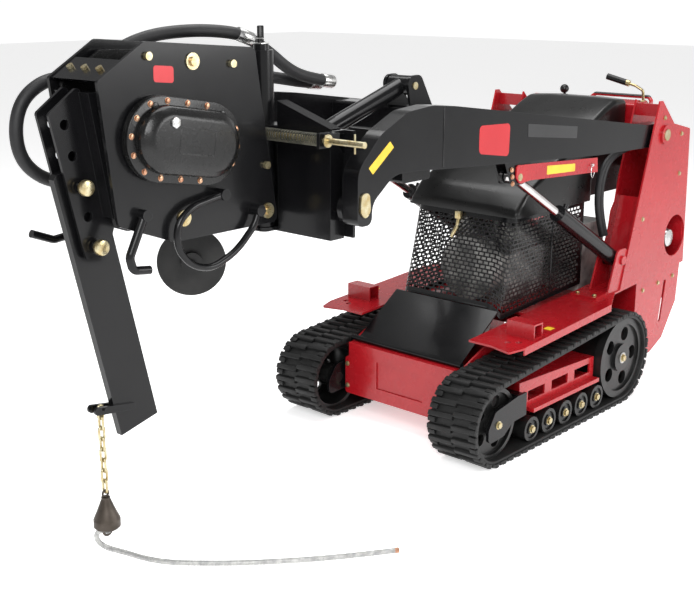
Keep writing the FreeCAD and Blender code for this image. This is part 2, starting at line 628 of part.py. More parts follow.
def loader_arms():
    """Both arms with their cross tubes, tilt ears and cylinder lugs, one weldment."""
    arm = hollow_beam(ARM_OUTLINE, S.arm_in, S.arm_out, S.arm_wall)
    hubs = [bar("X", 42, S.arm_out - S.arm_in, "arm_in", "pivot_y", "pivot_z"),
            bar("X", 28, S.arm_out - S.arm_in, "arm_in", "front_pin_y", "front_pin_z")]
    lug_outline = [(-590, 1125), (-545, 1030, 25), (-465, 1030, 25), (-420, 1115)]
    lug_far = plate(lug_outline, "cyl_mid - lug_in - lug_wall", "cyl_mid - lug_in")
    lug_near = plate(lug_outline, "cyl_mid + lug_in", "cyl_mid + lug_in + lug_wall")
    rear_tube = hollow_beam([(-705, 1205, 12), (-705, 1308, 12), (-600, 1308, 12), (-600, 1205, 12)],
                            -S.arm_in, S.arm_in, S.arm_wall)
    front_tube = hollow_beam([(-1105, 1102, 12), (-1105, 1175, 12), (-955, 1175, 12), (-955, 1102, 12)],
                             -S.arm_in, S.arm_in, S.arm_wall)
    ear_outline = [(-715, 1300), (-738, 1420, 32), (-660, 1425, 32), (-585, 1300)]
    ear = plate(ear_outline, "ear_in", "ear_in + ear_wall")
    drills = [bar("X", "pivot_pin", 100, "arm_in - 10", "pivot_y", "pivot_z"),
              bar("X", "front_pin", 100, "arm_in - 10", "front_pin_y", "front_pin_z"),
              bar("X", "eye_pin", 100, "arm_in - 10", "lift_y", "lift_z"),
              bar("X", "eye_pin", 60, "ear_in - 10", "ear_y", "ear_z")]
    frame = weld(both(arm, lug_far, lug_near, ear, *hubs) + [rear_tube, front_tube])
    keep("loader_arms", cut(frame, both(*drills)))


def arm_pins():
    """The pins that the arms turn on or carry, with their keeper plates."""
    pivot = bar("X", "pivot_pin", "tower_out - tower_in + 12", "tower_in + 2", "pivot_y", "pivot_z")
    lift = bar("X", "eye_pin", "2 * lug_in + 2 * lug_wall + 10", "cyl_mid - lug_in - lug_wall - 2",
               "lift_y", "lift_z")
    front = bar("X", "front_pin", "arm_out - arm_in + 34", "arm_in - 28", "front_pin_y", "front_pin_z")
    keeper_outline = [(-1392, 1053, 22), (-1388, 1112, 16), (-1350, 1112, 16), (-1344, 1053, 22), (-1368, 1026, 16)]
    keeper = plate(keeper_outline, "arm_out", "arm_out + 6")
    ear_pin = bar("X", "eye_pin", "2 * (ear_in + ear_wall + 4)", "-(ear_in + ear_wall + 4)", "ear_y", "ear_z")
    keep("arm_pins", group(both(pivot, lift, weld([front, keeper])) + [ear_pin]))


def cylinder_lock():
    """The red channel that locks a raised cylinder, stored along the left arm."""
    outline = [(-530, 1106, 12), (47, 1073), (54, 1014), (-440, 1040), (-505, 1034, 20), (-530, 1060, 12)]
    hook = (S.lift_y, S.lift_z, S.eye_pin + S.gap)
    keep("cylinder_lock", plate(outline, "arm_out", "arm_out + 5", holes=[hook]))


def lift_axis():
    """Unit vector from the lift cylinder's base pin to its rod pin, in the YZ plane."""
    return Vector(0, S.lift_y - S.base_y, S.lift_z - S.base_z).normalize()


def cylinder_piece(start, along, radius, length, low=0.0):
    """A bar along a cylinder's axis, from a distance past its pin."""
    rod = doc.addObject("Part::Cylinder", "stroke_bar")
    bind(rod, "Radius", radius)
    bind(rod, "Height", length)
    at = start + along * low
    return place(rod, at.x, at.y, at.z, Rotation(Vector(0, 0, 1), along))


def lift_cylinders():
    """Barrels and rods of the lift cylinders; each rod hangs from the arm's pin."""
    along = lift_axis()
    base = Vector(S.cyl_mid, S.base_y, S.base_z)
    tip = Vector(S.cyl_mid, S.lift_y, S.lift_z)
    tube = weld([bar("X", "eye_radius", "2 * base_lug_in - 4", "cyl_mid - base_lug_in + 2", "base_y", "base_z"),
                 cylinder_piece(base, along, "barrel_radius", "barrel_length - 20", 20)])
    port = doc.addObject("Part::Cylinder", "port")
    port.Radius, port.Height = 11, 24
    port_at = base + along * (S.barrel_length - 45) + Vector(0, along.z, -along.y) * (S.barrel_radius - 4)
    place(port, port_at.x, port_at.y, port_at.z, Rotation(Vector(0, 0, 1), Vector(0, along.z, -along.y)))
    hollow = cylinder_piece(base, along, "barrel_radius - 5", "barrel_length - 48", 40)
    mouth = cylinder_piece(base, along, "rod_radius + shaft_fit", 40, S.barrel_length - 20)
    pin_hole = bar("X", "eye_pin + 2", 80, "cyl_mid - 40", "base_y", "base_z")
    keep("lift_barrels", group(both(cut(weld([tube, port]), [hollow, mouth, pin_hole]))))
    eye = bar("X", "eye_radius - 2", "2 * eye_half", "cyl_mid - eye_half", "lift_y", "lift_z")
    rod = cylinder_piece(tip, along * -1, "rod_radius", "rod_length - 14", 14)
    piston = cylinder_piece(tip, along * -1, "barrel_radius - 5 - gap", 14, S.rod_length - 14)
    bore = bar("X", "eye_pin + shaft_fit", 80, "cyl_mid - 40", "lift_y", "lift_z")
    keep("lift_rods", group(both(cut(weld([eye, rod, piston]), [bore]))))


def tilt_cylinder():
    """The tilt cylinder between the arms' ears and the quick-attach plate."""
    ear = Vector(0, S.ear_y, S.ear_z)
    lug = Vector(0, S.tilt_y, S.tilt_z)
    along = (lug - ear).normalize()
    barrel = weld([bar("X", 36, "2 * ear_in - 8", "-ear_in + 4", "ear_y", "ear_z"),
                   cylinder_piece(ear, along, "tilt_radius", "tilt_barrel - 20", 20)])
    hollow = cylinder_piece(ear, along, "tilt_radius - 5", "tilt_barrel - 48", 40)
    mouth = cylinder_piece(ear, along, "tilt_rod_radius + shaft_fit", 40, S.tilt_barrel - 20)
    bore = bar("X", "eye_pin + shaft_fit", 120, -60, "ear_y", "ear_z")
    keep("tilt_barrel", cut(barrel, [hollow, mouth, bore]))
    rod = cylinder_piece(lug, along * -1, "tilt_rod_radius", "tilt_rod - 14", 10)
    piston = cylinder_piece(lug, along * -1, "tilt_radius - 5 - gap", 12, S.tilt_rod - 16)
    eye = bar("X", 24, 36, -18, "tilt_y", "tilt_z")
    eye_hole = bar("X", 12, 60, -30, "tilt_y", "tilt_z")
    keep("tilt_rod", cut(weld([rod, piston, eye]), [eye_hole]))


# ---------------------------------------------------------------- quick-attach plate and swing frame

def attach_plate():
    """The plate on the arms' tips that a tool hangs on."""
    face = block(("-plate_half", "plate_half"), ("plate_back_y - plate_thick", "plate_back_y"),
                 ("plate_low", "plate_top"))
    ear_outline = [(S.plate_back_y - 4, 1000), (-1390, 1015, 28), (-1402, 1060, 34), (-1388, 1090, 28),
                   (S.plate_back_y - 4, 1110)]
    ear = plate(ear_outline, "plate_half - 20", "plate_half")
    ribs = [block((x, x + 10), ("plate_back_y", "plate_back_y + 30"), (975, 1140)) for x in (120, 230)]
    lug_outline = [(S.plate_back_y, 1130), (-1272, 1165, 20), (-1272, 1215, 20), (S.plate_back_y, 1250)]
    lug = plate(lug_outline, 22, 32)
    stub = bar("X", 14, 8, 32, "tilt_y", "tilt_z")
    drill = bar("X", "front_pin + shaft_fit", 60, "plate_half - 40", "front_pin_y", "front_pin_z")
    keep("attach_plate", cut(weld([face] + both(ear, lug, stub, *ribs)), both(drill)))


def swing_frame():
    """The fixed frame that carries the plow's king pin and its centring spring."""
    rear = S.plate_back_y - S.plate_thick
    side = plate([(S.frame_front_y, S.frame_low), (rear, 961), (rear, 1220), (S.frame_front_y, 1302)],
                 "frame_half - frame_wall", "frame_half")
    body = doc.addObject("PartDesign::Body", "front_panel_half")
    outline = [(S.window_half, S.frame_low), (S.frame_half, S.frame_low), (S.frame_half, 1302),
               (S.window_half, 1376)]
    sketch = sketch_in(body, "XZ_Plane", [loop(outline)])
    pad = body.newObject("PartDesign::Pad", "pad")
    pad.Profile = sketch
    bind(pad, "Length", "frame_wall")
    place(body, 0, "frame_front_y + frame_wall")
    floor = block(("-frame_half", "frame_half"), ("frame_front_y", rear), ("frame_low", "frame_low + 12"))
    roof = block(("-frame_half", "frame_half"), ("frame_front_y + frame_wall", rear),
                 ("frame_top", "frame_top + 12"))
    strip = doc.addObject("Part::Box", "sloped_flange")
    strip.Length, strip.Width, strip.Height = 250, 46, 6
    slope = Rotation(Vector(0, 1, 0), math.degrees(math.atan2(74, S.frame_half - S.window_half)))
    place(strip, "window_half", "frame_front_y", 1376, slope)
    lugs = [bar("Z", 46, 12, 0, "king_y", level) for level in ("frame_low", "frame_top")]
    webs = [block((-46, 46), ("king_y", rear), (level, level + " + 12")) for level in ("frame_low", "frame_top")]
    king = bar("Z", "king_pin", "king_top - frame_low + 6", 0, "king_y", "frame_low - 6")
    eye = block(("spring_high + gap", "spring_high + 12"), ("center_y - 24", "center_y + 24"),
                ("center_z - 24", "center_z + 24"))
    arm = block(("frame_half - frame_wall", "spring_high + 12"), ("center_y + 22", "frame_front_y + 6"),
                ("center_z - 18", "center_z + 18"))
    bore = bar("X", "center_rod + shaft_fit", 40, "spring_high - 10", "center_y", "center_z")
    frame = weld(both(side, body, strip) + [floor, roof, king, eye, arm] + lugs + webs)
    keep("swing_frame", cut(frame, [bore]))


def centering():
    """The rod and coil spring that bring the plow back in line."""
    rod = bar("X", "center_rod", "center_end - 22", 22, "center_y", "center_z")
    collar = bar("X", 18, 8, "spring_low - 8 - gap", "center_y", "center_z")
    clip = bar("Z", 3, 60, "center_end - 40", "center_y", "center_z - 30")
    washer = bar("X", 20, 4, "spring_high + 24", "center_y", "center_z")
    keep("centering_rod", weld([rod, collar, clip, washer]))
    coil = bar("X", "spring_radius", "spring_high - spring_low", "spring_low", "center_y", "center_z")
    core = bar("X", "center_rod + 1", 400, "spring_low - 10", "center_y", "center_z")
    keep("centering_spring", cut(coil, [core]))


# ---------------------------------------------------------------- plow

SIDE_OUTLINE = [(-1980, 1591, 20), (-2147, 1489, 12), (-2102, 1077, 25), (-1900, 1000, 40), (-1470, 1000, 20),
                (-1557, 1559, 25)]
ISOLATORS = ((-1809, 1528), (-1862, 1068), (-1516, 1042))


def box_outline(span, radius):
    return stadium(S.box_y, S.box_z, span, radius, S.box_tilt)


def plow_plates():
    """The plow's side plates, joined by cross plates and hung from the king pin's sleeves."""
    opening = box_outline(S.box_span, S.box_radius + 12)
    side = plate(SIDE_OUTLINE, "plow_half - plow_wall", "plow_half", windows=[opening])
    inner = "plow_half - plow_wall"
    back = plate([(-1569, 1550), (-1557, 1550), (-1470, 1003), (-1482, 1003)], "-" + inner.replace("-", "+"), inner)
    top = plate([(-2140, 1489), (-2130, 1483), (-2050, 1532), (-2056, 1542)], "-" + inner.replace("-", "+"), inner)
    seam = S.king_y - S.sleeve_radius + 7
    web = plate([(-1562, 1541), (seam, 1541), (seam, 963), (-1470, 963), (-1478, 1003)], -15, 15)
    sleeves = [bar("Z", "sleeve_radius", "frame_top - frame_low - 16", 0, "king_y", "frame_low + 14"),
               bar("Z", "sleeve_radius", "1541 - frame_top - 14", 0, "king_y", "frame_top + 14")]
    lug = block((-12, 12), ("center_y - 12", "king_y"), ("center_z - 22", "center_z + 3"))
    beam = block(("-" + inner.replace("-", "+"), inner), (-1770, -1706), (1004, 1018))
    turn = Rotation(Vector(0, 0, 1), -S.disc_turn)
    out = turn.multVec(Vector(1, 0, 0))
    stem = bar("Z", 20, 150, out.x * -40, S.disc_y - out.y * 40, 875)
    axle = doc.addObject("Part::Cylinder", "axle")
    bind(axle, "Radius", "disc_axle")
    axle.Height = 80
    place(axle, out.x * -45, S.disc_y - out.y * 45, "disc_z", Rotation(Vector(0, 0, 1), out))
    bore = bar("Z", "king_pin + shaft_fit", 640, 0, "king_y", 940)
    notch = block((-50, 50), ("king_y - 48", "king_y + 60"), ("frame_top - 2", "frame_top + 14"))
    frame = weld(both(side) + [back, top, web, lug, beam, stem, axle] + sleeves)
    keep("plow_plates", cut(frame, [bore, notch]))


def isolators():
    """Rubber isolators between the side plates and the shaker's carriers."""
    discs = []
    for y, z in ISOLATORS:
        discs += both(bar("X", "iso_radius", "plow_half - plow_wall - carrier_half", "carrier_half", y, z))
    keep("isolators", group(discs))


def plow_bolts():
    """Isolator bolts with washers, and the bolts of the top cross plate."""
    bolts = []
    for y, z in ISOLATORS:
        washer = bar("X", 25, 5, "plow_half", y, z)
        head = bar("X", 14, 14, "plow_half", y, z)
        bolts += both(weld([washer, head]))
    for y, z in ((-1974, 1550), (-1655, 1514), (-1520, 1190)):
        bolts += both(bar("X", 12, 12, "plow_half", y, z))
    top = Rotation(Vector(0, 0, 1), Vector(0, -math.sin(math.radians(32)), math.cos(math.radians(32))))
    for x in (-70, 0, 70):
        bolt = doc.addObject("Part::Cylinder", "cross_bolt")
        bolt.Radius, bolt.Height = 10, 9
        bolts.append(place(bolt, x, -2098.1, 1515.8, top))
    keep("plow_bolts", group(bolts))


def gearbox():
    """The shaker's housing on its two carriers, its cover, and the counter-turning weights."""
    body = plate(None, "box_far", "box_face", edges=box_outline(S.box_span, S.box_radius))
    flange = plate(None, "box_face - flange_thick", "box_face", edges=box_outline(S.flange_span, S.flange_radius))
    carrier_outline = [(-2125, 1474, 12), (-1985, 1560, 20), (-1600, 1552, 20), (-1502, 1026, 12),
                       (-1895, 1026, 30), (-2085, 1088, 20)]
    carrier = plate(carrier_outline, "carrier_half - carrier_wall", "carrier_half")
    cavity = plate(None, "box_far + box_wall", "box_face + 10",
                   edges=box_outline(S.box_span, S.box_radius - S.box_wall))
    keep("gearbox_housing", cut(weld(both(carrier) + [body, flange]), [cavity]))

    lid = plate(None, "box_face", "box_face + cover_thick", edges=box_outline(S.flange_span, S.flange_radius))
    dome = plate(None, "box_face", "cover_reach", edges=box_outline(S.box_span, S.box_radius + 7))
    hollow = plate(None, "box_face - 5", "cover_reach - 9", edges=box_outline(S.box_span, S.box_radius - 3))
    along = Vector(math.cos(math.radians(S.box_tilt)), math.sin(math.radians(S.box_tilt)), 0)
    field = plate([(-1890, 1262, 8), (-1890, 1325, 8), (-1770, 1305, 8), (-1770, 1242, 8)],
                  "cover_reach - 4", "cover_reach + 4")
    plug = bar("X", 22, 14, "cover_reach", -1963, 1345)
    keep("gearbox_cover", weld([cut(weld([lid, dome]), [hollow, field]), plug]))

    for name, side in (("eccentric_front", -1), ("eccentric_rear", 1)):
        y = S.box_y + side * along.x * S.box_span
        z = S.box_z + side * along.y * S.box_span
        shaft = bar("X", "shaft_radius", "cover_reach - 9 - box_far - box_wall - 2 * gap", "box_far + box_wall + gap",
                    y, z)
        weight = bar("X", "weight_radius", 110, -30, y, z)
        away = block((-40, 90), (y - 100, y + 100), (z + 22, z + 120))
        keep(name, weld([cut(weight, [away]), shaft]))


def shaker_motor():
    """The hydraulic motor on the housing's far side, with its two hose ports."""
    y = S.box_y - S.box_span * math.cos(math.radians(S.box_tilt))
    z = S.box_z - S.box_span * math.sin(math.radians(S.box_tilt))
    flange = bar("X", 70, 20, "box_far - 20", y, z)
    body = bar("X", 55, 120, "box_far - 135", y, z)
    ports = [bar("Z", 18, 70, "box_far - 110", y + offset, z + 10) for offset in (-28, 28)]
    keep("shaker_motor", weld([flange, body] + ports))


def rake_point(along, across=0.0):
    """A point on the blade: a distance down its length, and across it towards the rear."""
    lean = math.radians(S.blade_rake)
    return (S.blade_top_y + along * math.sin(lean) + across * math.cos(lean),
            S.blade_top_z - along * math.cos(lean) + across * math.sin(lean))


PIN_STEPS = (-134, -42.5, 49, 140.5, 232)
PIN_ACROSS = -8


def blade_parts():
    """The blade's bracket, the blade, its two pins, and the clevis at its foot."""
    half = S.blade_width / 2
    corners = [rake_point(-176, -50), rake_point(-225, 67), rake_point(204, 68), rake_point(264, 30),
               rake_point(264, -46), rake_point(230, -50)]
    rounded = [(y, z, 12) for y, z in corners]
    stations = [rake_point(step, PIN_ACROSS) for step in PIN_STEPS]
    holes = [station + (S.blade_pin + S.shaft_fit,) for station in stations]
    cheek = plate(rounded, "bracket_half - bracket_wall", "bracket_half", holes=holes)
    yoke = plate([(-2150, 1455), (-2120, 1455), (-2068, 1095), (-2090, 1095)],
                 "bracket_half - bracket_wall", "carrier_half - carrier_wall")
    keep("blade_bracket", group(both(weld([cheek, yoke]))))

    pins_at = [stations[2], stations[4]]
    outline = [rake_point(10, -half), rake_point(-2, -half + 12), rake_point(-2, half - 12),
               rake_point(10, half), rake_point(S.blade_length - 4, half), rake_point(S.blade_length, -half)]
    bores = [(y, z, S.blade_pin + S.shaft_fit) for y, z in pins_at]
    blade = plate(outline, "-blade_half", "blade_half", holes=bores)
    strap = plate([(-2150, 488, 12), (-2150, 514, 12), (-2000, 490, 6), (-2000, 470, 6)],
                  "blade_half", "blade_half + 9")
    foot = bar("X", "clevis_pin", "2 * blade_half + 30", "-blade_half - 15", "clevis_y", "clevis_z")
    keep("blade", weld([blade] + both(strap) + [foot]))

    fasteners = []
    for y, z in pins_at:
        pin = bar("X", "blade_pin", "2 * bracket_half + 12", "-bracket_half - 8", y, z)
        cap = bar("X", 26, 10, "bracket_half", y, z)
        tail = bar("X", 22, 8, "-bracket_half - 8", y, z)
        fasteners.append(weld([pin, cap, tail]))
    for index in range(12):
        turn = 2 * math.pi * (index + 0.5) / 12
        side = 1 if math.cos(turn) > 0 else -1
        tilt = math.radians(S.box_tilt)
        reach = S.flange_radius - 11
        along, across = side * S.flange_span + reach * math.cos(turn), reach * math.sin(turn)
        y = S.box_y + along * math.cos(tilt) - across * math.sin(tilt)
        z = S.box_z + along * math.sin(tilt) + across * math.cos(tilt)
        fasteners.append(bar("X", 8, 9, "box_face + cover_thick", y, z))
    fasteners.append(bar("X", 13, 8, "cover_reach", -1755, 1245))
    keep("shaker_fasteners", group(fasteners))


def coulter_disc():
    """The small disc behind the blade, free on its own axle."""
    out = Rotation(Vector(0, 0, 1), -S.disc_turn).multVec(Vector(1, 0, 0))
    facing = Rotation(Vector(0, 0, 1), out)
    centre = Vector(0, S.disc_y, S.disc_z)

    def round_piece(radius, length, start):
        piece = doc.addObject("Part::Cylinder", "disc_piece")
        bind(piece, "Radius", radius)
        piece.Height = length
        at = centre + out * start
        return place(piece, at.x, at.y, at.z, facing)

    disc = weld([round_piece("disc_radius", 7, 0), round_piece(34, 40, -14)])
    keep("coulter_disc", cut(disc, [round_piece("disc_axle + shaft_fit", 80, -30)]))


def plow_rods():
    """Bent round bars: the guard under the near plate and the two crank handles."""
    side = S.plow_half + 28
    near = S.plow_half + 15
    guard = hose("guard bar", [(side, -1726, 1125), (side, -1853, 1105), (side, -1912, 1060), (side, -1914, 985),
                               (side, -1862, 925), (side, -1785, 902), (side, -1680, 938), (side, -1600, 1010),
                               (side, -1580, 1055)], 11)
    crank = hose("crank handle", [(near, -2020, 1102), (near, -2080, 985), (near, -2070, 945),
                                  (near, -2010, 937)], 13, 24)
    far = hose("far handle", [(-near, -2055, 1090), (-near, -2100, 1015), (-near, -2150, 1010),
                              (-near, -2225, 1040)], 12, 24)
    nut = bar("X", 18, 42, "plow_half", -1726, 1125)
    nut_two = bar("X", 18, 42, "plow_half", -1580, 1055)
    crank_foot = bar("X", 17, 32, "plow_half", -2020, 1102)
    far_foot = bar("X", 17, 28, "-plow_half - 28", -2055, 1090)
    keep("plow_rods", group([weld([guard, nut, nut_two]), weld([crank, crank_foot]), weld([far, far_foot])]))


def plow_hoses():
    """The two pressure hoses from the shaker motor, over the plow and back to the arms."""
    low = S.box_far - 110
    port = S.box_z - S.box_span * math.sin(math.radians(S.box_tilt)) + 80.3
    first = [(low, -1921, port), (low, -1921, port + 55), (low + 5, -1896, port + 115), (low + 20, -1830, 1560),
             (low + 45, -1740, 1592), (low + 80, -1640, 1606), (low + 105, -1530, 1604),
             (low + 130, -1420, 1588), (low + 140, -1320, 1530), (low + 145, -1230, 1465),
             (low + 145, -1130, 1430), (low + 145, -1010, 1412)]
    second = [(low, -1977, port), (low, -1977, port + 45), (low - 8, -2040, port + 84),
              (low - 12, -2110, port + 70), (low - 15, -2175, port + 22), (low - 15, -2205, port - 60),
              (low - 15, -2190, 1245), (low - 12, -2130, 1185), (low - 8, -2050, 1160), (low, -1960, 1160),
              (low + 15, -1860, 1175), (low + 30, -1750, 1205), (low + 45, -1640, 1250), (low + 55, -1550, 1310),
              (low + 65, -1470, 1380), (low + 75, -1390, 1430), (low + 85, -1300, 1445), (low + 90, -1200, 1430),
              (low + 90, -1100, 1412), (low + 90, -1010, 1405)]
    hoses = [hose("first hose", first, S.hose_radius), hose("second hose", second, S.hose_radius)]
    keep("plow_hoses", group(hoses))


def link(index):
    """One chain link; every other link is turned a quarter turn."""
    wire, half = S.link_wire, S.link_half
    straight = S.link_pitch / 2 - half + wire + 0.2
    path = [Part.LineSegment(Vector(half, 0, -straight), Vector(half, 0, straight)).toShape(),
            Part.Arc(Vector(half, 0, straight), Vector(0, 0, straight + half), Vector(-half, 0, straight)).toShape(),
            Part.LineSegment(Vector(-half, 0, straight), Vector(-half, 0, -straight)).toShape(),
            Part.Arc(Vector(-half, 0, -straight), Vector(0, 0, -straight - half), Vector(half, 0, -straight)).toShape()]
    ring = Part.Wire(Part.makeCircle(wire, Vector(half, 0, -straight), Vector(0, 0, 1)))
    shape = Part.makeSolid(Part.Wire(path).makePipeShell([ring], True, False))
    if shape.Volume < 0:
        shape.reverse()
    if index % 2 == 0:
        shape = shape.transformed(Placement(Vector(), Rotation(Vector(0, 0, 1), 90)).toMatrix(), True)
    hang = S.link_pitch / 2 + 0.2 - S.clevis_pin - S.gap
    drop = hang + index * S.link_pitch
    return solid(shape.translated(Vector(0, S.clevis_y, S.clevis_z - drop)))


def chain_and_bullet():
    """The drag chain under the blade and the pulling bullet on it."""
    keep("drag_chain", group([link(index) for index in range(int(S.link_count))]))
    top = S.bullet_top
    base = top - S.bullet_length
    r = S.bullet_radius
    body = doc.addObject("PartDesign::Body", "bullet")
    profile = [(0, base), (r - 6, base), (r, base + 6), (r, base + 30), (r - 14, base + 62, 30),
               (14, top - 6), (14, top), (0, top)]
    sketch = sketch_in(body, "XZ_Plane", [loop(profile)])
    turn = body.newObject("PartDesign::Revolution", "turn")
    turn.Profile = sketch
    turn.ReferenceAxis = (sketch, ["V_Axis"])
    turn.Angle = 360
    place(body, 0, "clevis_y", 0)
    rings = []
    for major, minor, level in ((10.5, 3.5, top + 11.6), (15, 4, base - 11)):
        ring = doc.addObject("Part::Torus", "eye")
        ring.Radius1, ring.Radius2 = major, minor
        rings.append(place(ring, 0, "clevis_y", level, Rotation(Vector(0, 1, 0), 90)))
    keep("puller_bullet", weld([body] + rings))


def cable_grip():
    """The woven grip that holds the cable; it hangs from the bullet's eye and lies on the ground."""
    floor = S.mesh_radius
    points = [(6, -2117, 91), (-36, -2119, 82), (-66, -2118, 52), (-64, -2110, 24), (-36, -2098, floor + 1),
              (18, -2078, floor), (100, -2060, floor), (176, -2028, floor), (246, -1972, floor),
              (333, -1893, floor),
              (426, -1794, floor), (513, -1690, floor), (592, -1582, floor), (661, -1478, floor)]
    keep("cable_grip", hose("cable grip", points, S.mesh_radius))


# ---------------------------------------------------------------- build and write

BUILDERS = (tracks, sprockets, idlers, road_wheels, track_frames, idler_forks, main_frame, front_panel,
            front_ramp, deck_fenders, towers, engine, engine_fittings, covers, levers,
            chassis_bolts, loader_arms, arm_pins, cylinder_lock, lift_cylinders, tilt_cylinder, attach_plate,
            swing_frame, centering, plow_plates, isolators, plow_bolts, gearbox, shaker_motor, blade_parts,
            coulter_disc, plow_rods, plow_hoses, chain_and_bullet, cable_grip)

for builder in BUILDERS:
    builder()
doc.recompute()

faults = [item.Name for item in doc.Objects if "Invalid" in item.State or "Error" in item.State]
faults += [label for label, item in PARTS.items() if item.Shape.isNull() or not item.Shape.isValid()]
if faults:
    raise RuntimeError("failed objects: " + ", ".join(faults))

os.makedirs("parts", exist_ok=True)
for label, item in PARTS.items():
    item.Shape.exportStep(os.path.join("parts", label + ".step"))
print(len(PARTS), "sub-parts written")
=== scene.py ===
# %% [markdown]
# A compact tracked utility loader that carries a vibratory cable plow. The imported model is
# loaded first: it holds every steel piece at its real size. This script gives each piece its
# finish, and models what a plain solid cannot show, such as the tracks' lugs, the punched
# engine guard, moulded hoods, bolts, hoses, the coil spring and the woven cable grip.

# %% Load the frame
import math
import bpy
from mathutils import Matrix, Vector


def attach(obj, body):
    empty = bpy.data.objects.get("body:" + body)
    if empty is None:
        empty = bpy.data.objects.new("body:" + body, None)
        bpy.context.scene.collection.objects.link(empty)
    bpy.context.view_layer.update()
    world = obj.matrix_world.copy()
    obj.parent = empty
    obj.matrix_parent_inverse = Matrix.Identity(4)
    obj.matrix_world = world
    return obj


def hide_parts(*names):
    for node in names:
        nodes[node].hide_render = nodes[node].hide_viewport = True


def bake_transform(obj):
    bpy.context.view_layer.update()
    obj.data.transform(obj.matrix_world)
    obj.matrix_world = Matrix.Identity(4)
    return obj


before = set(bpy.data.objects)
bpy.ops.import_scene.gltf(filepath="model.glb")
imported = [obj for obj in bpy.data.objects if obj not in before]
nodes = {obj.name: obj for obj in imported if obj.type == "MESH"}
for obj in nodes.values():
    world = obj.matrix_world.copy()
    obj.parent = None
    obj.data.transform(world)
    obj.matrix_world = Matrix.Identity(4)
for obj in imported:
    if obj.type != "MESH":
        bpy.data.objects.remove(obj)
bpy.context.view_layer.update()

bpy.context.scene.tool_settings.mesh_select_mode = (False, False, True)
DATUM_Y = 697.2
LEFT, RIGHT = 1, -1
X_AXIS, Y_AXIS, Z_AXIS = Vector((1, 0, 0)), Vector((0, 1, 0)), Vector((0, 0, 1))


# %% [markdown]
# Stations are counted in millimetres from the machine's datum, a cross line under the engine.
# One helper turns them into metres in the model's own frame.

# %% Stations
def at(x, y, z):
    """A point in metres from stations in millimetres."""
    return Vector((x, y + DATUM_Y, z)) / 1000


# %% [markdown]
# The camera comes first, because loose cords are measured against its view. It stands at the
# machine's front left, a little above the hood, with a moderate lens.

# %% Camera
lens = bpy.data.cameras.new("camera")
lens.lens, lens.sensor_width = 58.83, 36
camera = bpy.data.objects.new("camera", lens)
bpy.context.scene.collection.objects.link(camera)
camera.location = at(2739.35, -4009.5, 1738.93)
camera.rotation_euler = (math.radians(74.69), 0, math.radians(42.31))
bpy.context.scene.camera = camera


# %% [markdown]
# Finishes. Every one is a Principled shader whose colour drifts with a soft noise and whose
# surface gets a fine bump: paint has orange peel, rubber a dull grain, steel a finer one.
# One helper builds that, and each finish only states its own numbers.

# %% Finish helper
def finish(name, dark, light, rough, metal, spread, grain, bump, coat=0.0, level=0.5):
    """A material: two colours that drift into each other, a roughness range and a grain."""
    material = bpy.data.materials.new(name)
    material.use_nodes = True
    tree = material.node_tree
    shader = tree.nodes["Principled BSDF"]
    shader.inputs["Metallic"].default_value = metal
    shader.inputs["Coat Weight"].default_value = coat
    shader.inputs["Specular IOR Level"].default_value = level
    shader.inputs["Coat Roughness"].default_value = 0.08
    place = tree.nodes.new("ShaderNodeTexCoord")
    drift = noise(tree, place, spread, 5)
    colour = tree.nodes.new("ShaderNodeValToRGB")
    colour.color_ramp.elements[0].position = 0.35
    colour.color_ramp.elements[0].color = (*dark, 1)
    colour.color_ramp.elements[1].position = 0.65
    colour.color_ramp.elements[1].color = (*light, 1)
    tree.links.new(drift.outputs["Fac"], colour.inputs["Fac"])
    tree.links.new(colour.outputs["Color"], shader.inputs["Base Color"])
    sheen = tree.nodes.new("ShaderNodeMapRange")
    sheen.inputs["To Min"].default_value, sheen.inputs["To Max"].default_value = rough
    tree.links.new(noise(tree, place, spread * 7, 4).outputs["Fac"], sheen.inputs["Value"])
    tree.links.new(sheen.outputs["Result"], shader.inputs["Roughness"])
    relief = tree.nodes.new("ShaderNodeBump")
    relief.inputs["Strength"].default_value = bump
    relief.inputs["Distance"].default_value = 0.001
    tree.links.new(noise(tree, place, grain, 3).outputs["Fac"], relief.inputs["Height"])
    tree.links.new(relief.outputs["Normal"], shader.inputs["Normal"])
    return material


def noise(tree, place, scale, detail):
    """A noise texture on the object's own coordinates."""
    texture = tree.nodes.new("ShaderNodeTexNoise")
    texture.inputs["Scale"].default_value = scale
    texture.inputs["Detail"].default_value = detail
    tree.links.new(place.outputs["Object"], texture.inputs["Vector"])
    return texture
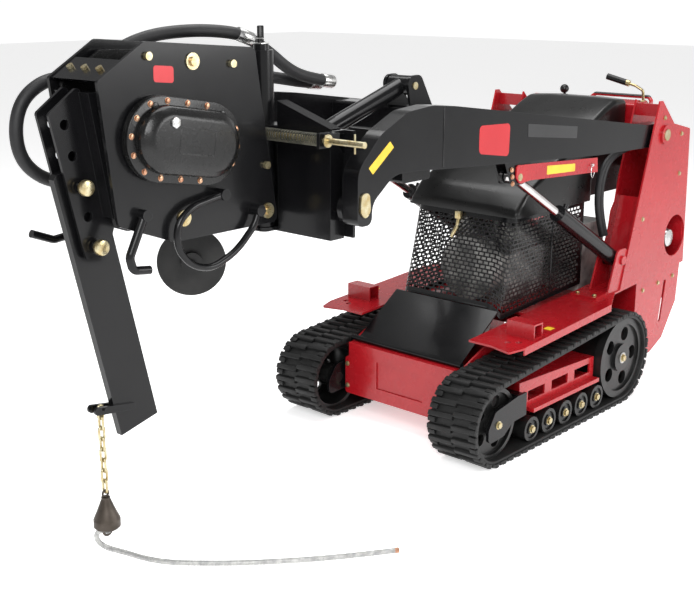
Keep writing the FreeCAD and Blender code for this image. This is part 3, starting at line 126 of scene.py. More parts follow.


# %% [markdown]
# Painted plate gets a painted highlight along its edges: its colour is made lighter there. A Bevel node bends
# the normal near edges only, so its difference from the true normal marks them, and a noise breaks the
# painted highlight up into patches and brighter lines.

# %% Painted edge highlight
def painted_edge_highlight(material, highlight_colour, width, amount):
    """Lighten a paint along its edges, in broken patches, as a painted highlight."""
    tree = material.node_tree
    shader = tree.nodes["Principled BSDF"]
    bevel = tree.nodes.new("ShaderNodeBevel")
    bevel.samples = 4
    bevel.inputs["Radius"].default_value = width
    true = tree.nodes.new("ShaderNodeNewGeometry")
    alike = tree.nodes.new("ShaderNodeVectorMath")
    alike.operation = "DOT_PRODUCT"
    tree.links.new(bevel.outputs["Normal"], alike.inputs[0])
    tree.links.new(true.outputs["Normal"], alike.inputs[1])
    edge = tree.nodes.new("ShaderNodeMapRange")
    edge.inputs["From Min"].default_value, edge.inputs["From Max"].default_value = 0.995, 0.85
    edge.inputs["To Max"].default_value = amount
    tree.links.new(alike.outputs["Value"], edge.inputs["Value"])
    place = tree.nodes.new("ShaderNodeTexCoord")
    patch = noise(tree, place, 35, 5)
    broken = tree.nodes.new("ShaderNodeMath")
    broken.operation = "MULTIPLY"
    tree.links.new(edge.outputs["Result"], broken.inputs[0])
    tree.links.new(patch.outputs["Fac"], broken.inputs[1])
    mix = tree.nodes.new("ShaderNodeMixRGB")
    mix.inputs["Color2"].default_value = (*highlight_colour, 1)
    colour = shader.inputs["Base Color"].links[0].from_socket
    tree.links.new(colour, mix.inputs["Color1"])
    tree.links.new(broken.outputs["Value"], mix.inputs["Fac"])
    tree.links.new(mix.outputs["Color"], shader.inputs["Base Color"])
    return material


# %% [markdown]
# The machine's own finishes: gloss red and gloss black powder coat, black castings, black
# rubber for tracks and hoses, yellow zinc on the fasteners, hard chrome on the rods, and a
# dark bare steel on the pulling bullet and disc.

# %% Finishes
# The paints, castings and steels below get a painted edge highlight: a lighter copy of their colour along
# edges.
red_paint = painted_edge_highlight(finish("red_paint", (0.33, 0.006, 0.011), (0.39, 0.009, 0.014), (0.2, 0.34), 0, 2.5,
                        500, 0.03, 0.25, 0.4), (0.75, 0.09, 0.08), 0.002, 0.4)
black_paint = painted_edge_highlight(finish("black_paint", (0.0035, 0.0035, 0.004), (0.006, 0.006, 0.0065), (0.16, 0.28),
                          0, 3, 450, 0.04, 0.08, 0.22), (0.06, 0.06, 0.063), 0.002, 0.8)
black_cast = painted_edge_highlight(finish("black_cast", (0.004, 0.004, 0.004), (0.008, 0.008, 0.008), (0.2, 0.34), 0, 5,
                         170, 0.4, 0.12, 0.3), (0.06, 0.06, 0.06), 0.003, 0.7)
black_steel = painted_edge_highlight(finish("black_steel", (0.006, 0.006, 0.006), (0.012, 0.012, 0.012), (0.26, 0.42), 0, 5,
                          300, 0.1, 0.06, 0.3), (0.12, 0.115, 0.11), 0.002, 0.7)
track_rubber = finish("track_rubber", (0.007, 0.007, 0.007), (0.013, 0.013, 0.013), (0.42, 0.7), 0, 9,
                      260, 0.3, 0, 0.3)
hose_rubber = finish("hose_rubber", (0.009, 0.009, 0.01), (0.018, 0.018, 0.019), (0.42, 0.6), 0, 8, 620, 0.4,
                     0, 0.35)
black_plastic = finish("black_plastic", (0.004, 0.004, 0.004), (0.008, 0.008, 0.008), (0.24, 0.34), 0, 4, 700,
                       0.12, 0.05, 0.3)
black_rubber = finish("black_rubber", (0.01, 0.01, 0.01), (0.02, 0.02, 0.02), (0.5, 0.7), 0, 9, 300,
                      0.2, 0, 0.3)
yellow_zinc = finish("yellow_zinc", (0.42, 0.32, 0.15), (0.55, 0.5, 0.33), (0.2, 0.38), 0.9, 38, 500, 0.05)
copper_zinc = finish("copper_zinc", (0.42, 0.2, 0.12), (0.56, 0.36, 0.23), (0.22, 0.4), 0.9, 45, 500, 0.05)
bright_zinc = finish("bright_zinc", (0.5, 0.5, 0.5), (0.68, 0.68, 0.66), (0.2, 0.35), 0.95, 30, 500, 0.05)
chrome = finish("chrome", (0.5, 0.48, 0.48), (0.64, 0.62, 0.61), (0.07, 0.16), 1, 12, 700, 0.02)
engine_metal = finish("engine_metal", (0.16, 0.16, 0.155), (0.5, 0.49, 0.47), (0.35, 0.6), 0.5, 14, 200, 0.3)
dark_steel = finish("dark_steel", (0.045, 0.036, 0.028), (0.1, 0.083, 0.07), (0.38, 0.6), 0.75, 14,
                    260, 0.3)
disc_steel = finish("disc_steel", (0.01, 0.01, 0.01), (0.02, 0.0195, 0.019), (0.35, 0.55), 0.2, 10, 200,
                    0.2, 0, 0.3)
spring_steel = finish("spring_steel", (0.03, 0.03, 0.024), (0.1, 0.095, 0.07), (0.25, 0.4), 0.7, 30, 300, 0.1)
wire_steel = finish("wire_steel", (0.42, 0.42, 0.42), (0.7, 0.7, 0.68), (0.3, 0.5), 0.85, 60, 900, 0.1)
label_red = finish("label_red", (0.42, 0.008, 0.014), (0.47, 0.012, 0.018), (0.3, 0.4), 0, 4, 800, 0.02)
label_black = finish("label_black", (0.012, 0.012, 0.013), (0.018, 0.018, 0.019), (0.3, 0.42), 0, 4,
                     800, 0.02)
label_yellow = finish("label_yellow", (0.66, 0.42, 0.02), (0.76, 0.52, 0.03), (0.35, 0.45), 0, 12, 800, 0.02)


# %% [markdown]
# Two nodes carry two finishes each: the console is red with the top of its grab bar black, and
# the attachment lever has a black grip on a zinc-plated rod. A plane across the node tells the
# two apart, by the object's own coordinates.

# %% Two-tone finishes
def two_tone(name, base, axis, limit, colour, metal):
    """A copy of a finish that changes its colour and metal beyond a plane across the object."""
    material = base.copy()
    material.name = name
    tree = material.node_tree
    shader = tree.nodes["Principled BSDF"]
    place = tree.nodes.new("ShaderNodeTexCoord")
    parts = tree.nodes.new("ShaderNodeSeparateXYZ")
    beyond = tree.nodes.new("ShaderNodeMath")
    beyond.operation = "GREATER_THAN"
    beyond.inputs[1].default_value = limit
    tree.links.new(place.outputs["Object"], parts.inputs["Vector"])
    tree.links.new(parts.outputs[axis], beyond.inputs[0])
    mix = tree.nodes.new("ShaderNodeMixRGB")
    mix.inputs["Color2"].default_value = (*colour, 1)
    before = shader.inputs["Base Color"].links[0].from_socket
    tree.links.new(before, mix.inputs["Color1"])
    tree.links.new(beyond.outputs["Value"], mix.inputs["Fac"])
    tree.links.new(mix.outputs["Color"], shader.inputs["Base Color"])
    shine = tree.nodes.new("ShaderNodeMath")
    shine.operation = "MULTIPLY"
    shine.inputs[1].default_value = metal
    tree.links.new(beyond.outputs["Value"], shine.inputs[0])
    tree.links.new(shine.outputs["Value"], shader.inputs["Metallic"])
    return material


ZINC, BLACK = (0.42, 0.34, 0.18), (0.006, 0.006, 0.006)
CONSOLE_TOP, LEVER_SIDE = 1.2525, 0.2
console_paint = two_tone("console_paint", red_paint, "Z", CONSOLE_TOP, BLACK, 0)
lever_finish = two_tone("lever_finish", black_plastic, "X", LEVER_SIDE, ZINC, 0.9)

COATS = {
    red_paint: ("track_frames", "main_frame", "front_panel", "deck_fenders", "towers", "cylinder_lock"),
    console_paint: ("control_console",), lever_finish: ("attachment_lever",),
    black_paint: ("idler_forks", "front_ramp", "front_hood", "rear_hood", "grille_guard", "loader_arms",
                  "lift_barrels", "tilt_barrel", "attach_plate", "swing_frame", "plow_plates",
                  "blade_bracket", "blade", "plow_rods"),
    black_cast: ("gearbox_housing", "gearbox_cover", "shaker_motor"),
    black_steel: ("sprocket_left", "sprocket_right", "idler_left", "idler_right", "eccentric_front",
                  "eccentric_rear") + tuple("road_wheel_%s_%d" % (side, k) for side in ("left", "right")
                                            for k in range(1, 6)),
    yellow_zinc: ("chassis_bolts", "arm_pins", "centering_rod", "centering_spring", "plow_bolts",
                  "shaker_fasteners", "drag_chain"),
    track_rubber: ("track_left", "track_right"), hose_rubber: ("plow_hoses",),
    engine_metal: ("engine_block", "engine_fittings"),
    chrome: ("lift_rods", "tilt_rod"), black_plastic: ("traction_lever",),
    black_rubber: ("isolators",), dark_steel: ("puller_bullet",), disc_steel: ("coulter_disc",),
    wire_steel: ("cable_grip",)}
for coat, names in COATS.items():
    for name in names:
        nodes[name].data.materials.clear()
        nodes[name].data.materials.append(coat)
print("finishes on", sum(len(names) for names in COATS.values()), "nodes")


# %% [markdown]
# Modelling helpers. Each new piece starts as a primitive at its size and place, is shaped in
# edit mode and finished with modifiers. An operator acts on all that is selected, so one piece
# is made the only selected one first, and its place is baked into its mesh at the end.

# %% Modelling helpers
def alone(piece=None):
    """Make one piece, or nothing, the selection."""
    bpy.ops.object.select_all(action="DESELECT")
    if piece is not None:
        piece.select_set(True)
        bpy.context.view_layer.objects.active = piece


def settle(name):
    """Bake the active piece's place, turn and size into its mesh, and name it."""
    piece = bpy.context.object
    bpy.ops.object.transform_apply(location=True, rotation=True, scale=True)
    piece.name = name
    return piece


def modify(piece, kind, **settings):
    """Add a modifier and apply it."""
    modifier = piece.modifiers.new(kind.title(), kind)
    for setting, value in settings.items():
        setattr(modifier, setting, value)
    alone(piece)
    bpy.ops.object.modifier_apply(modifier=modifier.name)
    return piece


def smooth(piece, angle=35):
    """Shade a piece smooth, except at edges sharper than an angle."""
    alone(piece)
    bpy.ops.object.shade_smooth_by_angle(angle=math.radians(angle))
    return piece


def block(name, low, high, edge):
    """A box with softened edges between two corners."""
    alone()
    bpy.ops.mesh.primitive_cube_add(size=1, location=(low + high) / 2)
    bpy.context.object.scale = high - low
    piece = settle(name)
    modify(piece, "BEVEL", width=edge, segments=2)
    return smooth(piece)


def round_bar(name, start, end, radius, edge=0.0015, sides=32):
    """A round bar with softened ends between two points."""
    alone()
    run = end - start
    bpy.ops.mesh.primitive_cylinder_add(vertices=sides, radius=radius, depth=run.length,
                                        location=(start + end) / 2,
                                        rotation=run.to_track_quat("Z", "Y").to_euler())
    piece = settle(name)
    modify(piece, "BEVEL", width=edge, segments=2, limit_method="ANGLE", angle_limit=math.radians(50))
    return smooth(piece)


def join(name, pieces):
    """Join pieces into one."""
    alone(pieces[0])
    for piece in pieces:
        piece.select_set(True)
    bpy.ops.object.join()
    pieces[0].name = name
    return pieces[0]


def copies(name, pattern, places):
    """Copies of a pattern, each with its own mesh, joined into one piece."""
    made = []
    for place in places:
        twin = pattern.copy()
        twin.data = pattern.data.copy()
        twin.data.transform(place)
        bpy.context.scene.collection.objects.link(twin)
        made.append(twin)
    bpy.data.objects.remove(pattern)
    return join(name, made)


def done(piece, body, material):
    """Give a finished piece its finish and let it ride on its body."""
    piece.data.materials.clear()
    piece.data.materials.append(material)
    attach(piece, body)
    return piece


def turned_to(direction, place, size):
    """The matrix that stands a pattern made along +Z on a point, along a direction."""
    turn = Vector(direction).to_track_quat("Z", "Y")
    return Matrix.LocRotScale(place, turn, Vector((size, size, size)))


# %% [markdown]
# The woven cable grip is a free cord: a sleeve of braided wire that starts in the bullet's eye,
# drops to the ground and lies there in a long soft curve. Its centreline is one smooth spline
# through the same route as its solid, and the braid is wound round that line.

# %% Cable grip
GRIP_ROUTE = [(6, -2117, 91), (-36, -2119, 82), (-66, -2118, 52), (-64, -2110, 24), (-36, -2098, 9.5),
              (18, -2078, 8.5), (100, -2060, 8.5), (176, -2028, 8.5), (246, -1972, 8.5),
              (333, -1893, 8.5), (426, -1794, 8.5), (513, -1690, 8.5), (592, -1582, 8.5),
              (661, -1478, 8.5)]
GRIP_RADIUS = 0.0085


def spline_of(name, stations, radius=0.0):
    """A smooth curve with stations as its control points."""
    curve = bpy.data.curves.new(name, "CURVE")
    curve.dimensions = "3D"
    curve.bevel_depth, curve.bevel_resolution, curve.resolution_u = radius, 4, 10
    line = curve.splines.new("NURBS")
    line.points.add(len(stations) - 1)
    for point, station in zip(line.points, stations):
        point.co = (*at(*station), 1)
    line.order_u, line.use_endpoint_u = 3, True
    piece = bpy.data.objects.new(name, curve)
    bpy.context.scene.collection.objects.link(piece)
    return piece


def line_points(curve):
    """Points along a curve that has no bevel."""
    mesh = bpy.data.meshes.new_from_object(curve)
    points = [vertex.co.copy() for vertex in mesh.vertices]
    bpy.data.meshes.remove(mesh)
    return points


def even(points, step):
    """The same line with points a step apart."""
    made, reach = [points[0]], 0.0
    for start, end in zip(points, points[1:]):
        run = (end - start).length
        while reach + run >= step * len(made):
            share = (step * len(made) - reach) / run
            made.append(start.lerp(end, share))
        reach += run
    return made


def wound(points, radius, pitch, phase, step):
    """A line wound round another at a radius, one turn in each pitch."""
    side = Z_AXIS.cross(points[1] - points[0]).normalized()
    made = []
    for index, point in enumerate(points):
        ahead = points[min(index + 1, len(points) - 1)] - points[max(index - 1, 0)]
        side = (side - side.project(ahead)).normalized()
        up = ahead.normalized().cross(side)
        turn = phase + 2 * math.pi * index * step / pitch
        made.append(point + (side * math.cos(turn) + up * math.sin(turn)) * radius)
    return made


def wires(name, lines, radius, sides=1):
    """Thin round wires along lines of points, as one mesh."""
    curve = bpy.data.curves.new(name, "CURVE")
    curve.dimensions = "3D"
    curve.bevel_depth, curve.bevel_resolution = radius, sides
    curve.use_fill_caps = True
    for points in lines:
        line = curve.splines.new("POLY")
        line.points.add(len(points) - 1)
        for point, place in zip(line.points, points):
            point.co = (*place, 1)
    piece = bpy.data.objects.new(name, curve)
    bpy.context.scene.collection.objects.link(piece)
    alone(piece)
    bpy.ops.object.convert(target="MESH")
    return smooth(bpy.context.object, 60)


grip_line = spline_of("grip_line", GRIP_ROUTE)
grip_points = line_points(grip_line)
bpy.data.objects.remove(grip_line)
STEP, WIRE, CORE, BRAID_PITCH, STRANDS = 0.004, 0.0013, 0.0042, 0.056, 6
grip_even = even(grip_points, STEP)
strands = [wound(grip_even, GRIP_RADIUS - WIRE, way * BRAID_PITCH, 2 * math.pi * k / STRANDS, STEP)
           for way in (1, -1) for k in range(STRANDS)]
core = [even(grip_points, 0.01)]
braid = join("woven_grip", [wires("braid", strands, WIRE), wires("grip_core", core, CORE, 2)])
done(braid, "puller_bullet", wire_steel)
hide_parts("cable_grip")
tip = grip_even[-1]
back = (grip_even[-1] - grip_even[-3]).normalized()
band = round_bar("grip_end", tip - back * 0.014, tip - back * 0.001, 0.0086, 0.001, 24)
done(band, "puller_bullet", copper_zinc)


# %% [markdown]
# The rubber tracks. Each belt runs round the front idler and the rear sprocket. A tube with one
# side for each step of the belt is laid on that loop and given its thickness. One tread lug is
# modelled, in two staggered halves, and copied along the belt square to it.

# %% Track loop
IDLER, SPROCKET = (-715, 165), (205, 203)
TRACK_MID, TRACK_HALF = 403, 111


def loop_point(share, inset):
    """A point on the belt's loop at a share of its length, and the way out of the belt there."""
    small, large = IDLER[1] - inset, SPROCKET[1] - inset
    front, rear = Vector(IDLER), Vector(SPROCKET)
    gap = (rear - front).length
    lean = math.asin((small - large) / gap)
    along = math.atan2(rear.y - front.y, rear.x - front.x)
    top = along + math.pi / 2 - lean
    bottom = -math.pi / 2
    run = math.sqrt(gap * gap - (large - small) ** 2)
    front_arc = (2 * math.pi + bottom - top) * small
    rear_arc = (top - bottom) * large
    flat = rear.x - front.x
    rest = share * (front_arc + run + rear_arc + flat)
    if rest < front_arc:
        turn = bottom - rest / small
        way = Vector((math.cos(turn), math.sin(turn)))
        return front + way * small, way
    rest -= front_arc
    way = Vector((math.cos(top), math.sin(top)))
    if rest < run:
        return (front + way * small).lerp(rear + way * large, rest / run), way
    rest -= run
    if rest < rear_arc:
        turn = top - rest / large
        way = Vector((math.cos(turn), math.sin(turn)))
        return rear + way * large, way
    rest -= rear_arc
    way = Vector((0, -1))
    return Vector((rear.x - rest, inset)), way


# %% Belt
LUG_COUNT, BELT_SIDES = 60, 180
LUG_TALL, BELT_THICK = 13, 15
INNER_FACE = LUG_TALL + BELT_THICK


def belt(name, mid):
    """The smooth band under the lugs."""
    alone()
    bpy.ops.mesh.primitive_cylinder_add(vertices=BELT_SIDES, radius=1, depth=2, end_fill_type="NOTHING")
    piece = bpy.context.object
    for vertex in piece.data.vertices:
        share = (math.atan2(vertex.co.y, vertex.co.x) / (2 * math.pi)) % 1.0
        place, way = loop_point(1 - share, LUG_TALL)
        vertex.co = at(mid + (TRACK_HALF - 4) * vertex.co.z, place.x, place.y)
    alone(piece)
    bpy.ops.object.mode_set(mode="EDIT")
    bpy.ops.mesh.select_all(action="SELECT")
    bpy.ops.mesh.normals_make_consistent(inside=False)
    bpy.ops.object.mode_set(mode="OBJECT")
    modify(piece, "SOLIDIFY", thickness=BELT_THICK / 1000, offset=-1)
    modify(piece, "BEVEL", width=0.003, segments=2, limit_method="ANGLE", angle_limit=math.radians(50))
    piece.name = name
    return smooth(piece)


def lug_pattern():
    """One tread bar in two staggered halves, with small blocks at its ends, along +Z."""
    tall, halves = LUG_TALL / 1000, []
    for side in (LEFT, RIGHT):
        alone()
        bpy.ops.mesh.primitive_cube_add(size=1, location=(side * 0.0555, side * 0.006, tall / 2 - 0.002))
        bpy.context.object.scale = (0.111, 0.026, tall + 0.004)
        bar = settle("lug")
        for vertex in bar.data.vertices:
            if vertex.co.z > tall / 2:
                vertex.co.y = side * 0.006 + (vertex.co.y - side * 0.006) * 0.72
            if abs(vertex.co.x) > 0.1:
                vertex.co.y += side * 0.006
        halves.append(bar)
        alone()
        bpy.ops.mesh.primitive_cube_add(size=1, location=(side * 0.094, side * -0.017, tall / 2 - 0.004))
        bpy.context.object.scale = (0.034, 0.02, tall)
        halves.append(settle("heel"))
    lug = join("lug", halves)
    return modify(lug, "BEVEL", width=0.0022, segments=2)


def belt_place(mid, share, inset):
    """The matrix that stands a pattern made along +Z on the belt, square to it."""
    place, way = loop_point(share, inset)
    out = Vector((0, way.x, way.y))
    turn = Matrix((X_AXIS, out.cross(X_AXIS), out)).transposed().to_4x4()
    return Matrix.Translation(at(mid, place.x, place.y)) @ turn


for name, side in (("left", LEFT), ("right", RIGHT)):
    mid = TRACK_MID * side
    tread = copies("tread_" + name, lug_pattern(),
                   [belt_place(mid, k / LUG_COUNT, LUG_TALL) for k in range(LUG_COUNT)])
    smooth(tread, 40)
    track = join("rubber_track_" + name, [belt("belt_" + name, mid), tread])
    done(track, "chassis", track_rubber)
    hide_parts("track_" + name)
print("tracks made, faces", len(track.data.polygons))


# %% [markdown]
# Guide lugs stand in a row on the belt's inner face, between the twin rims of the road wheels,
# and keep the track from walking off. They are small tapered blocks along the lower run.

# %% Guide lugs
def guide_pattern():
    """One tapered guide lug that hangs below Z = 0."""
    alone()
    bpy.ops.mesh.primitive_cube_add(size=1, location=(0, 0, -0.009))
    bpy.context.object.scale = (0.034, 0.026, 0.018)
    piece = settle("guide")
    for vertex in piece.data.vertices:
        if vertex.co.z < -0.01:
            vertex.co.x *= 0.6
            vertex.co.y *= 0.7
    return modify(piece, "BEVEL", width=0.003, segments=2)


def on_ground_run(share):
    """Whether a share of the belt lies on its lower run, between the idler and the sprocket."""
    spot = loop_point(share, INNER_FACE)[0]
    return -600 < spot.x < 60 and spot.y < 60


shares = [k / LUG_COUNT for k in range(LUG_COUNT) if on_ground_run(k / LUG_COUNT)]
for name, side in (("left", LEFT), ("right", RIGHT)):
    guides = copies("guide_lugs_" + name, guide_pattern(),
                    [belt_place(TRACK_MID * side, share, INNER_FACE) for share in shares])
    done(smooth(guides), "chassis", track_rubber)


# %% [markdown]
# Bolts. A hexagon head with a chamfered top stands on a flat washer. It is modelled once for
# each group, with a radius of one unit, and copied square to the plate that it clamps.

# %% Bolt pattern
def hex_bolt(height):
    """A hex head on a washer, for copies; its radius is 1 and it stands on Z = 0."""
    alone()
    bpy.ops.mesh.primitive_cylinder_add(vertices=6, radius=1, depth=height,
                                        location=(0, 0, 0.12 + height / 2))
    head = settle("head")
    modify(head, "BEVEL", width=0.09, segments=2, limit_method="ANGLE", angle_limit=math.radians(45))
    alone()
    bpy.ops.mesh.primitive_cylinder_add(vertices=24, radius=1.25, depth=0.14, location=(0, 0, 0.07))
    washer = settle("washer")
    modify(washer, "BEVEL", width=0.03, segments=1)
    return smooth(join("bolt", [head, washer]))


def bolts(name, body, spots, size, material=yellow_zinc, replaced=(), height=0.62):
    """A group of bolts; each spot is a place and a direction."""
    places = [turned_to(way, place, size) for place, way in spots]
    group = copies(name, hex_bolt(height), places)
    done(group, body, material)
    if replaced:
        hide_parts(*replaced)


def deck_top(y):
    """Height of the deck's upper face at a station."""
    return 424 + (y + 606) * math.tan(math.radians(3.4))


chassis_spots = [(at(x, -691, z), -Y_AXIS) for x in (-278, 278) for z in (130, 225)]
for side in (LEFT, RIGHT):
    out = X_AXIS * side
    for y, z in ((435, 764), (743, 1107), (749, 928), (575, 1190)):
        chassis_spots.append((at(430 * side, y, z), out))
    for y in (500, 640, 780):
        chassis_spots.append((at(420 * side, y, deck_top(y) - 60), out))
    for x in (320, 400):
        chassis_spots.append((at(x * side, 112, deck_top(112) + 12.5), Z_AXIS))
bolts("chassis_hex_bolts", "chassis", chassis_spots, 0.0085, replaced=("chassis_bolts",))

arm_spots = [(at(s * 410, y, z), X_AXIS * s) for s in (LEFT, RIGHT)
             for y, z in ((-556, 1092), (-551, 1066), (-548, 1040))]
bolts("arm_hex_bolts", "arms", arm_spots, 0.008, copper_zinc)

ISOLATORS = ((-1809, 1528), (-1862, 1068), (-1516, 1042))
plow_spots = [(at(s * 127, y, z), X_AXIS * s) for s in (LEFT, RIGHT) for y, z in ISOLATORS]
bolts("isolator_nuts", "plow", plow_spots, 0.0115, copper_zinc)
print("bolt groups made")


# %% [markdown]
# The road wheels, idlers and sprockets get their hub hardware: a washer and a large nut on the
# axle, on the outside where it shows. Those of the road wheels and idlers turn with their own
# wheel, and the sprocket's stays with the chassis.

# %% Hub nuts
for name, side in (("left", LEFT), ("right", RIGHT)):
    out = X_AXIS * side
    for index in range(5):
        spot = at(497 * side, -478 + 122 * index, 78)
        bolts("wheel_nut_%s_%d" % (name, index + 1), "road_wheel_%s_%d" % (name, index + 1),
              [(spot, out)], 0.0135)
    bolts("sprocket_nut_" + name, "chassis", [(at(502.5 * side, 205, 203), out)], 0.014)
    bolts("idler_bolt_" + name, "idler_" + name, [(at(503 * side, -715, 165), out)], 0.013)


# %% [markdown]
# The engine guard is punched steel sheet with staggered slots, like brickwork. A grid is laid
# out with its lines at the slots' edges, the slots' faces are deleted, and what is left gets
# its thickness. The one sheet runs along one side, round the front and back along the other.

# %% Punched sheet
SLOT_PITCH, ROW_PITCH, SLOT_TALL, RIM, SHEET = 29.0, 16.5, 10.5, 16.0, 0.002
SHARES = (0.0, 0.27, 0.5, 0.77)


def stations_along(points, shares):
    """Points at shares of the length of a line."""
    lengths = [0.0]
    for start, end in zip(points, points[1:]):
        lengths.append(lengths[-1] + (end - start).length)
    made = []
    for share in shares:
        reach, index = share * lengths[-1], 0
        while index < len(points) - 2 and lengths[index + 1] < reach:
            index += 1
        span = lengths[index + 1] - lengths[index]
        made.append(points[index].lerp(points[index + 1], (reach - lengths[index]) / span))
    return made


def punched(name, low_line, high_line, height):
    """A punched sheet between a low and a high line, with whole slots only."""
    width = sum((b - a).length for a, b in zip(low_line, low_line[1:])) * 1000
    columns = int((width - 2 * RIM) // SLOT_PITCH)
    rows = int((height - 2 * RIM) // ROW_PITCH)
    left, base = (width - columns * SLOT_PITCH) / 2, (height - rows * ROW_PITCH) / 2
    across = [0.0] + [left + SLOT_PITCH * (k + s) for k in range(columns) for s in SHARES]
    across += [left + columns * SLOT_PITCH, width]
    upward = [0.0]
    for k in range(rows):
        upward += [base + ROW_PITCH * k, base + ROW_PITCH * k + SLOT_TALL]
    upward += [base + ROW_PITCH * rows, height]
    low = stations_along(low_line, [x / width for x in across])
    high = stations_along(high_line, [x / width for x in across])
    alone()
    count = len(across)
    bpy.ops.mesh.primitive_grid_add(x_subdivisions=count - 1, y_subdivisions=len(upward) - 1, size=2)
    piece = bpy.context.object
    for vertex in piece.data.vertices:
        column = round((vertex.co.x + 1) / 2 * (count - 1))
        row = round((vertex.co.y + 1) / 2 * (len(upward) - 1))
        vertex.co = low[column].lerp(high[column], upward[row] / height)
    for face in piece.data.polygons:
        column = min(k % count for k in face.vertices)
        row = min(k // count for k in face.vertices)
        face.select = is_slot(column, row, columns, rows)
    bpy.ops.object.mode_set(mode="EDIT")
    bpy.ops.mesh.delete(type="FACE")
    bpy.ops.object.mode_set(mode="OBJECT")
    piece.name = name
    modify(piece, "SOLIDIFY", thickness=SHEET, offset=0)
    return smooth(piece, 30)


def is_slot(column, row, columns, rows):
    """Whether a face of the grid is part of a slot; every other row is shifted half a pitch."""
    if row % 2 == 0 or row > 2 * rows - 1 or column < 1 or column > columns * 4:
        return False
    part = (column - 1) % 4
    if (row // 2) % 2 == 0:
        return part < 3
    if column <= 2 or column > columns * 4 - 2:
        return False
    return part != 1


GUARD_SIDE, GUARD_BACK, CORNER = 244, 254, 42
GUARD_TOP, GUARD_FOOT, FOOT_FALL, GUARD_TALL = 857, 492, 1.3, 372
FOOT_FRONT, TOP_FRONT = -391, -291


def guard_line(front, low):
    """The guard's outline at its foot or at its top, round both front corners."""
    turns = [math.radians(90 * k / 8) for k in range(9)]
    centre = front + CORNER
    left = [(-GUARD_SIDE + CORNER * (1 - math.cos(t)), centre - CORNER * math.sin(t)) for t in turns]
    right = [(-x, y) for x, y in reversed(left)]
    plan = [(-GUARD_SIDE, GUARD_BACK)] + left + right + [(GUARD_SIDE, GUARD_BACK)]
    if not low:
        return [at(x, y, GUARD_TOP) for x, y in plan]
    return [at(x, y, max(deck_top(y) + 3, GUARD_FOOT - FOOT_FALL * (y - front))) for x, y in plan]


guard = punched("punched_guard", guard_line(FOOT_FRONT, True), guard_line(TOP_FRONT, False), GUARD_TALL)
done(guard, "chassis", black_paint)
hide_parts("grille_guard")
print("guard faces", len(guard.data.polygons))

# %% Guard frame
frame_bars = []
for side in (LEFT, RIGHT):
    x = (GUARD_SIDE - 2) * side
    frame_bars += [round_bar("post", at(x, y, deck_top(y) + 4), at(x, y, 850), 0.005) for y in (10, 249)]
frame_bars.append(round_bar("sill", at(-200, -390, 494), at(200, -390, 494), 0.004))
guard_frame = join("guard_frame", frame_bars)
done(guard_frame, "chassis", black_paint)


# %% [markdown]
# The hoods are moulded in one piece with full, soft corners. A box is cut across at the places
# where the top bends, its top is raised to the hood's line, and a wide bevel rounds every edge
# before the open underside is given its wall.

# %% Hoods
def hood(name, half, low, profile, rounding, node, crown):
    """A moulded hood over a profile of stations and heights, front to back."""
    front, back = profile[0][0], profile[-1][0]
    alone()
    bpy.ops.mesh.primitive_cube_add(size=1, location=at(0, (front + back) / 2, low + 50))
    bpy.context.object.scale = (half / 500, (back - front) / 1000, 0.1)
    piece = settle(name)
    bpy.ops.object.mode_set(mode="EDIT")
    for y, height in profile[1:-1]:
        bpy.ops.mesh.select_all(action="SELECT")
        bpy.ops.mesh.bisect(plane_co=at(0, y, 0), plane_no=(0, 1, 0))
    for x in (-half * 0.5, half * 0.5):
        bpy.ops.mesh.select_all(action="SELECT")
        bpy.ops.mesh.bisect(plane_co=(x / 1000, 0, 0), plane_no=(1, 0, 0))
    bpy.ops.object.mode_set(mode="OBJECT")
    for vertex in piece.data.vertices:
        if vertex.co.z > (low + 50) / 1000:
            station = vertex.co.y * 1000 - DATUM_Y
            height = min(profile, key=lambda stop: abs(stop[0] - station))[1]
            inner = 1 - abs(vertex.co.x) * 1000 / half
            vertex.co.z = (height + crown * min(inner, 0.5) * 2 - crown) / 1000
    for face in piece.data.polygons:
        face.select = face.normal.z < -0.9
    alone(piece)
    bpy.ops.object.mode_set(mode="EDIT")
    bpy.ops.mesh.select_mode(type="FACE")
    bpy.ops.mesh.delete(type="FACE")
    bpy.ops.object.mode_set(mode="OBJECT")
    modify(piece, "BEVEL", width=rounding, segments=5, limit_method="ANGLE",
           angle_limit=math.radians(12), use_clamp_overlap=True)
    modify(piece, "SOLIDIFY", thickness=0.004, offset=-1)
    done(smooth(piece, 50), "chassis", black_plastic)
    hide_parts(node)


hood("moulded_front_hood", 273, 851, [(-305, 880), (-236, 952), (-100, 1020), (60, 1088), (269.5, 1158)],
     0.026, "front_hood", 8)
hood("moulded_rear_hood", 232, 860, [(270.5, 1150), (330, 1192), (420, 1234), (505, 1266), (601.5, 1262)],
     0.022, "rear_hood", 6)

# %% Hood lip
lip = block("hood_lip", at(-271, -304.5, 851), at(271, -298, 860), 0.003)
done(lip, "chassis", black_plastic)
strap = join("guard_latch", [round_bar("latch", at(-8, -318, 790), at(-8, -305, 835), 0.007),
                             round_bar("latch", at(-8, -318, 790), at(-26, -330, 742), 0.008),
                             block("latch_foot", at(-22, -318, 818), at(6, -300, 850), 0.003)])
done(strap, "chassis", yellow_zinc)
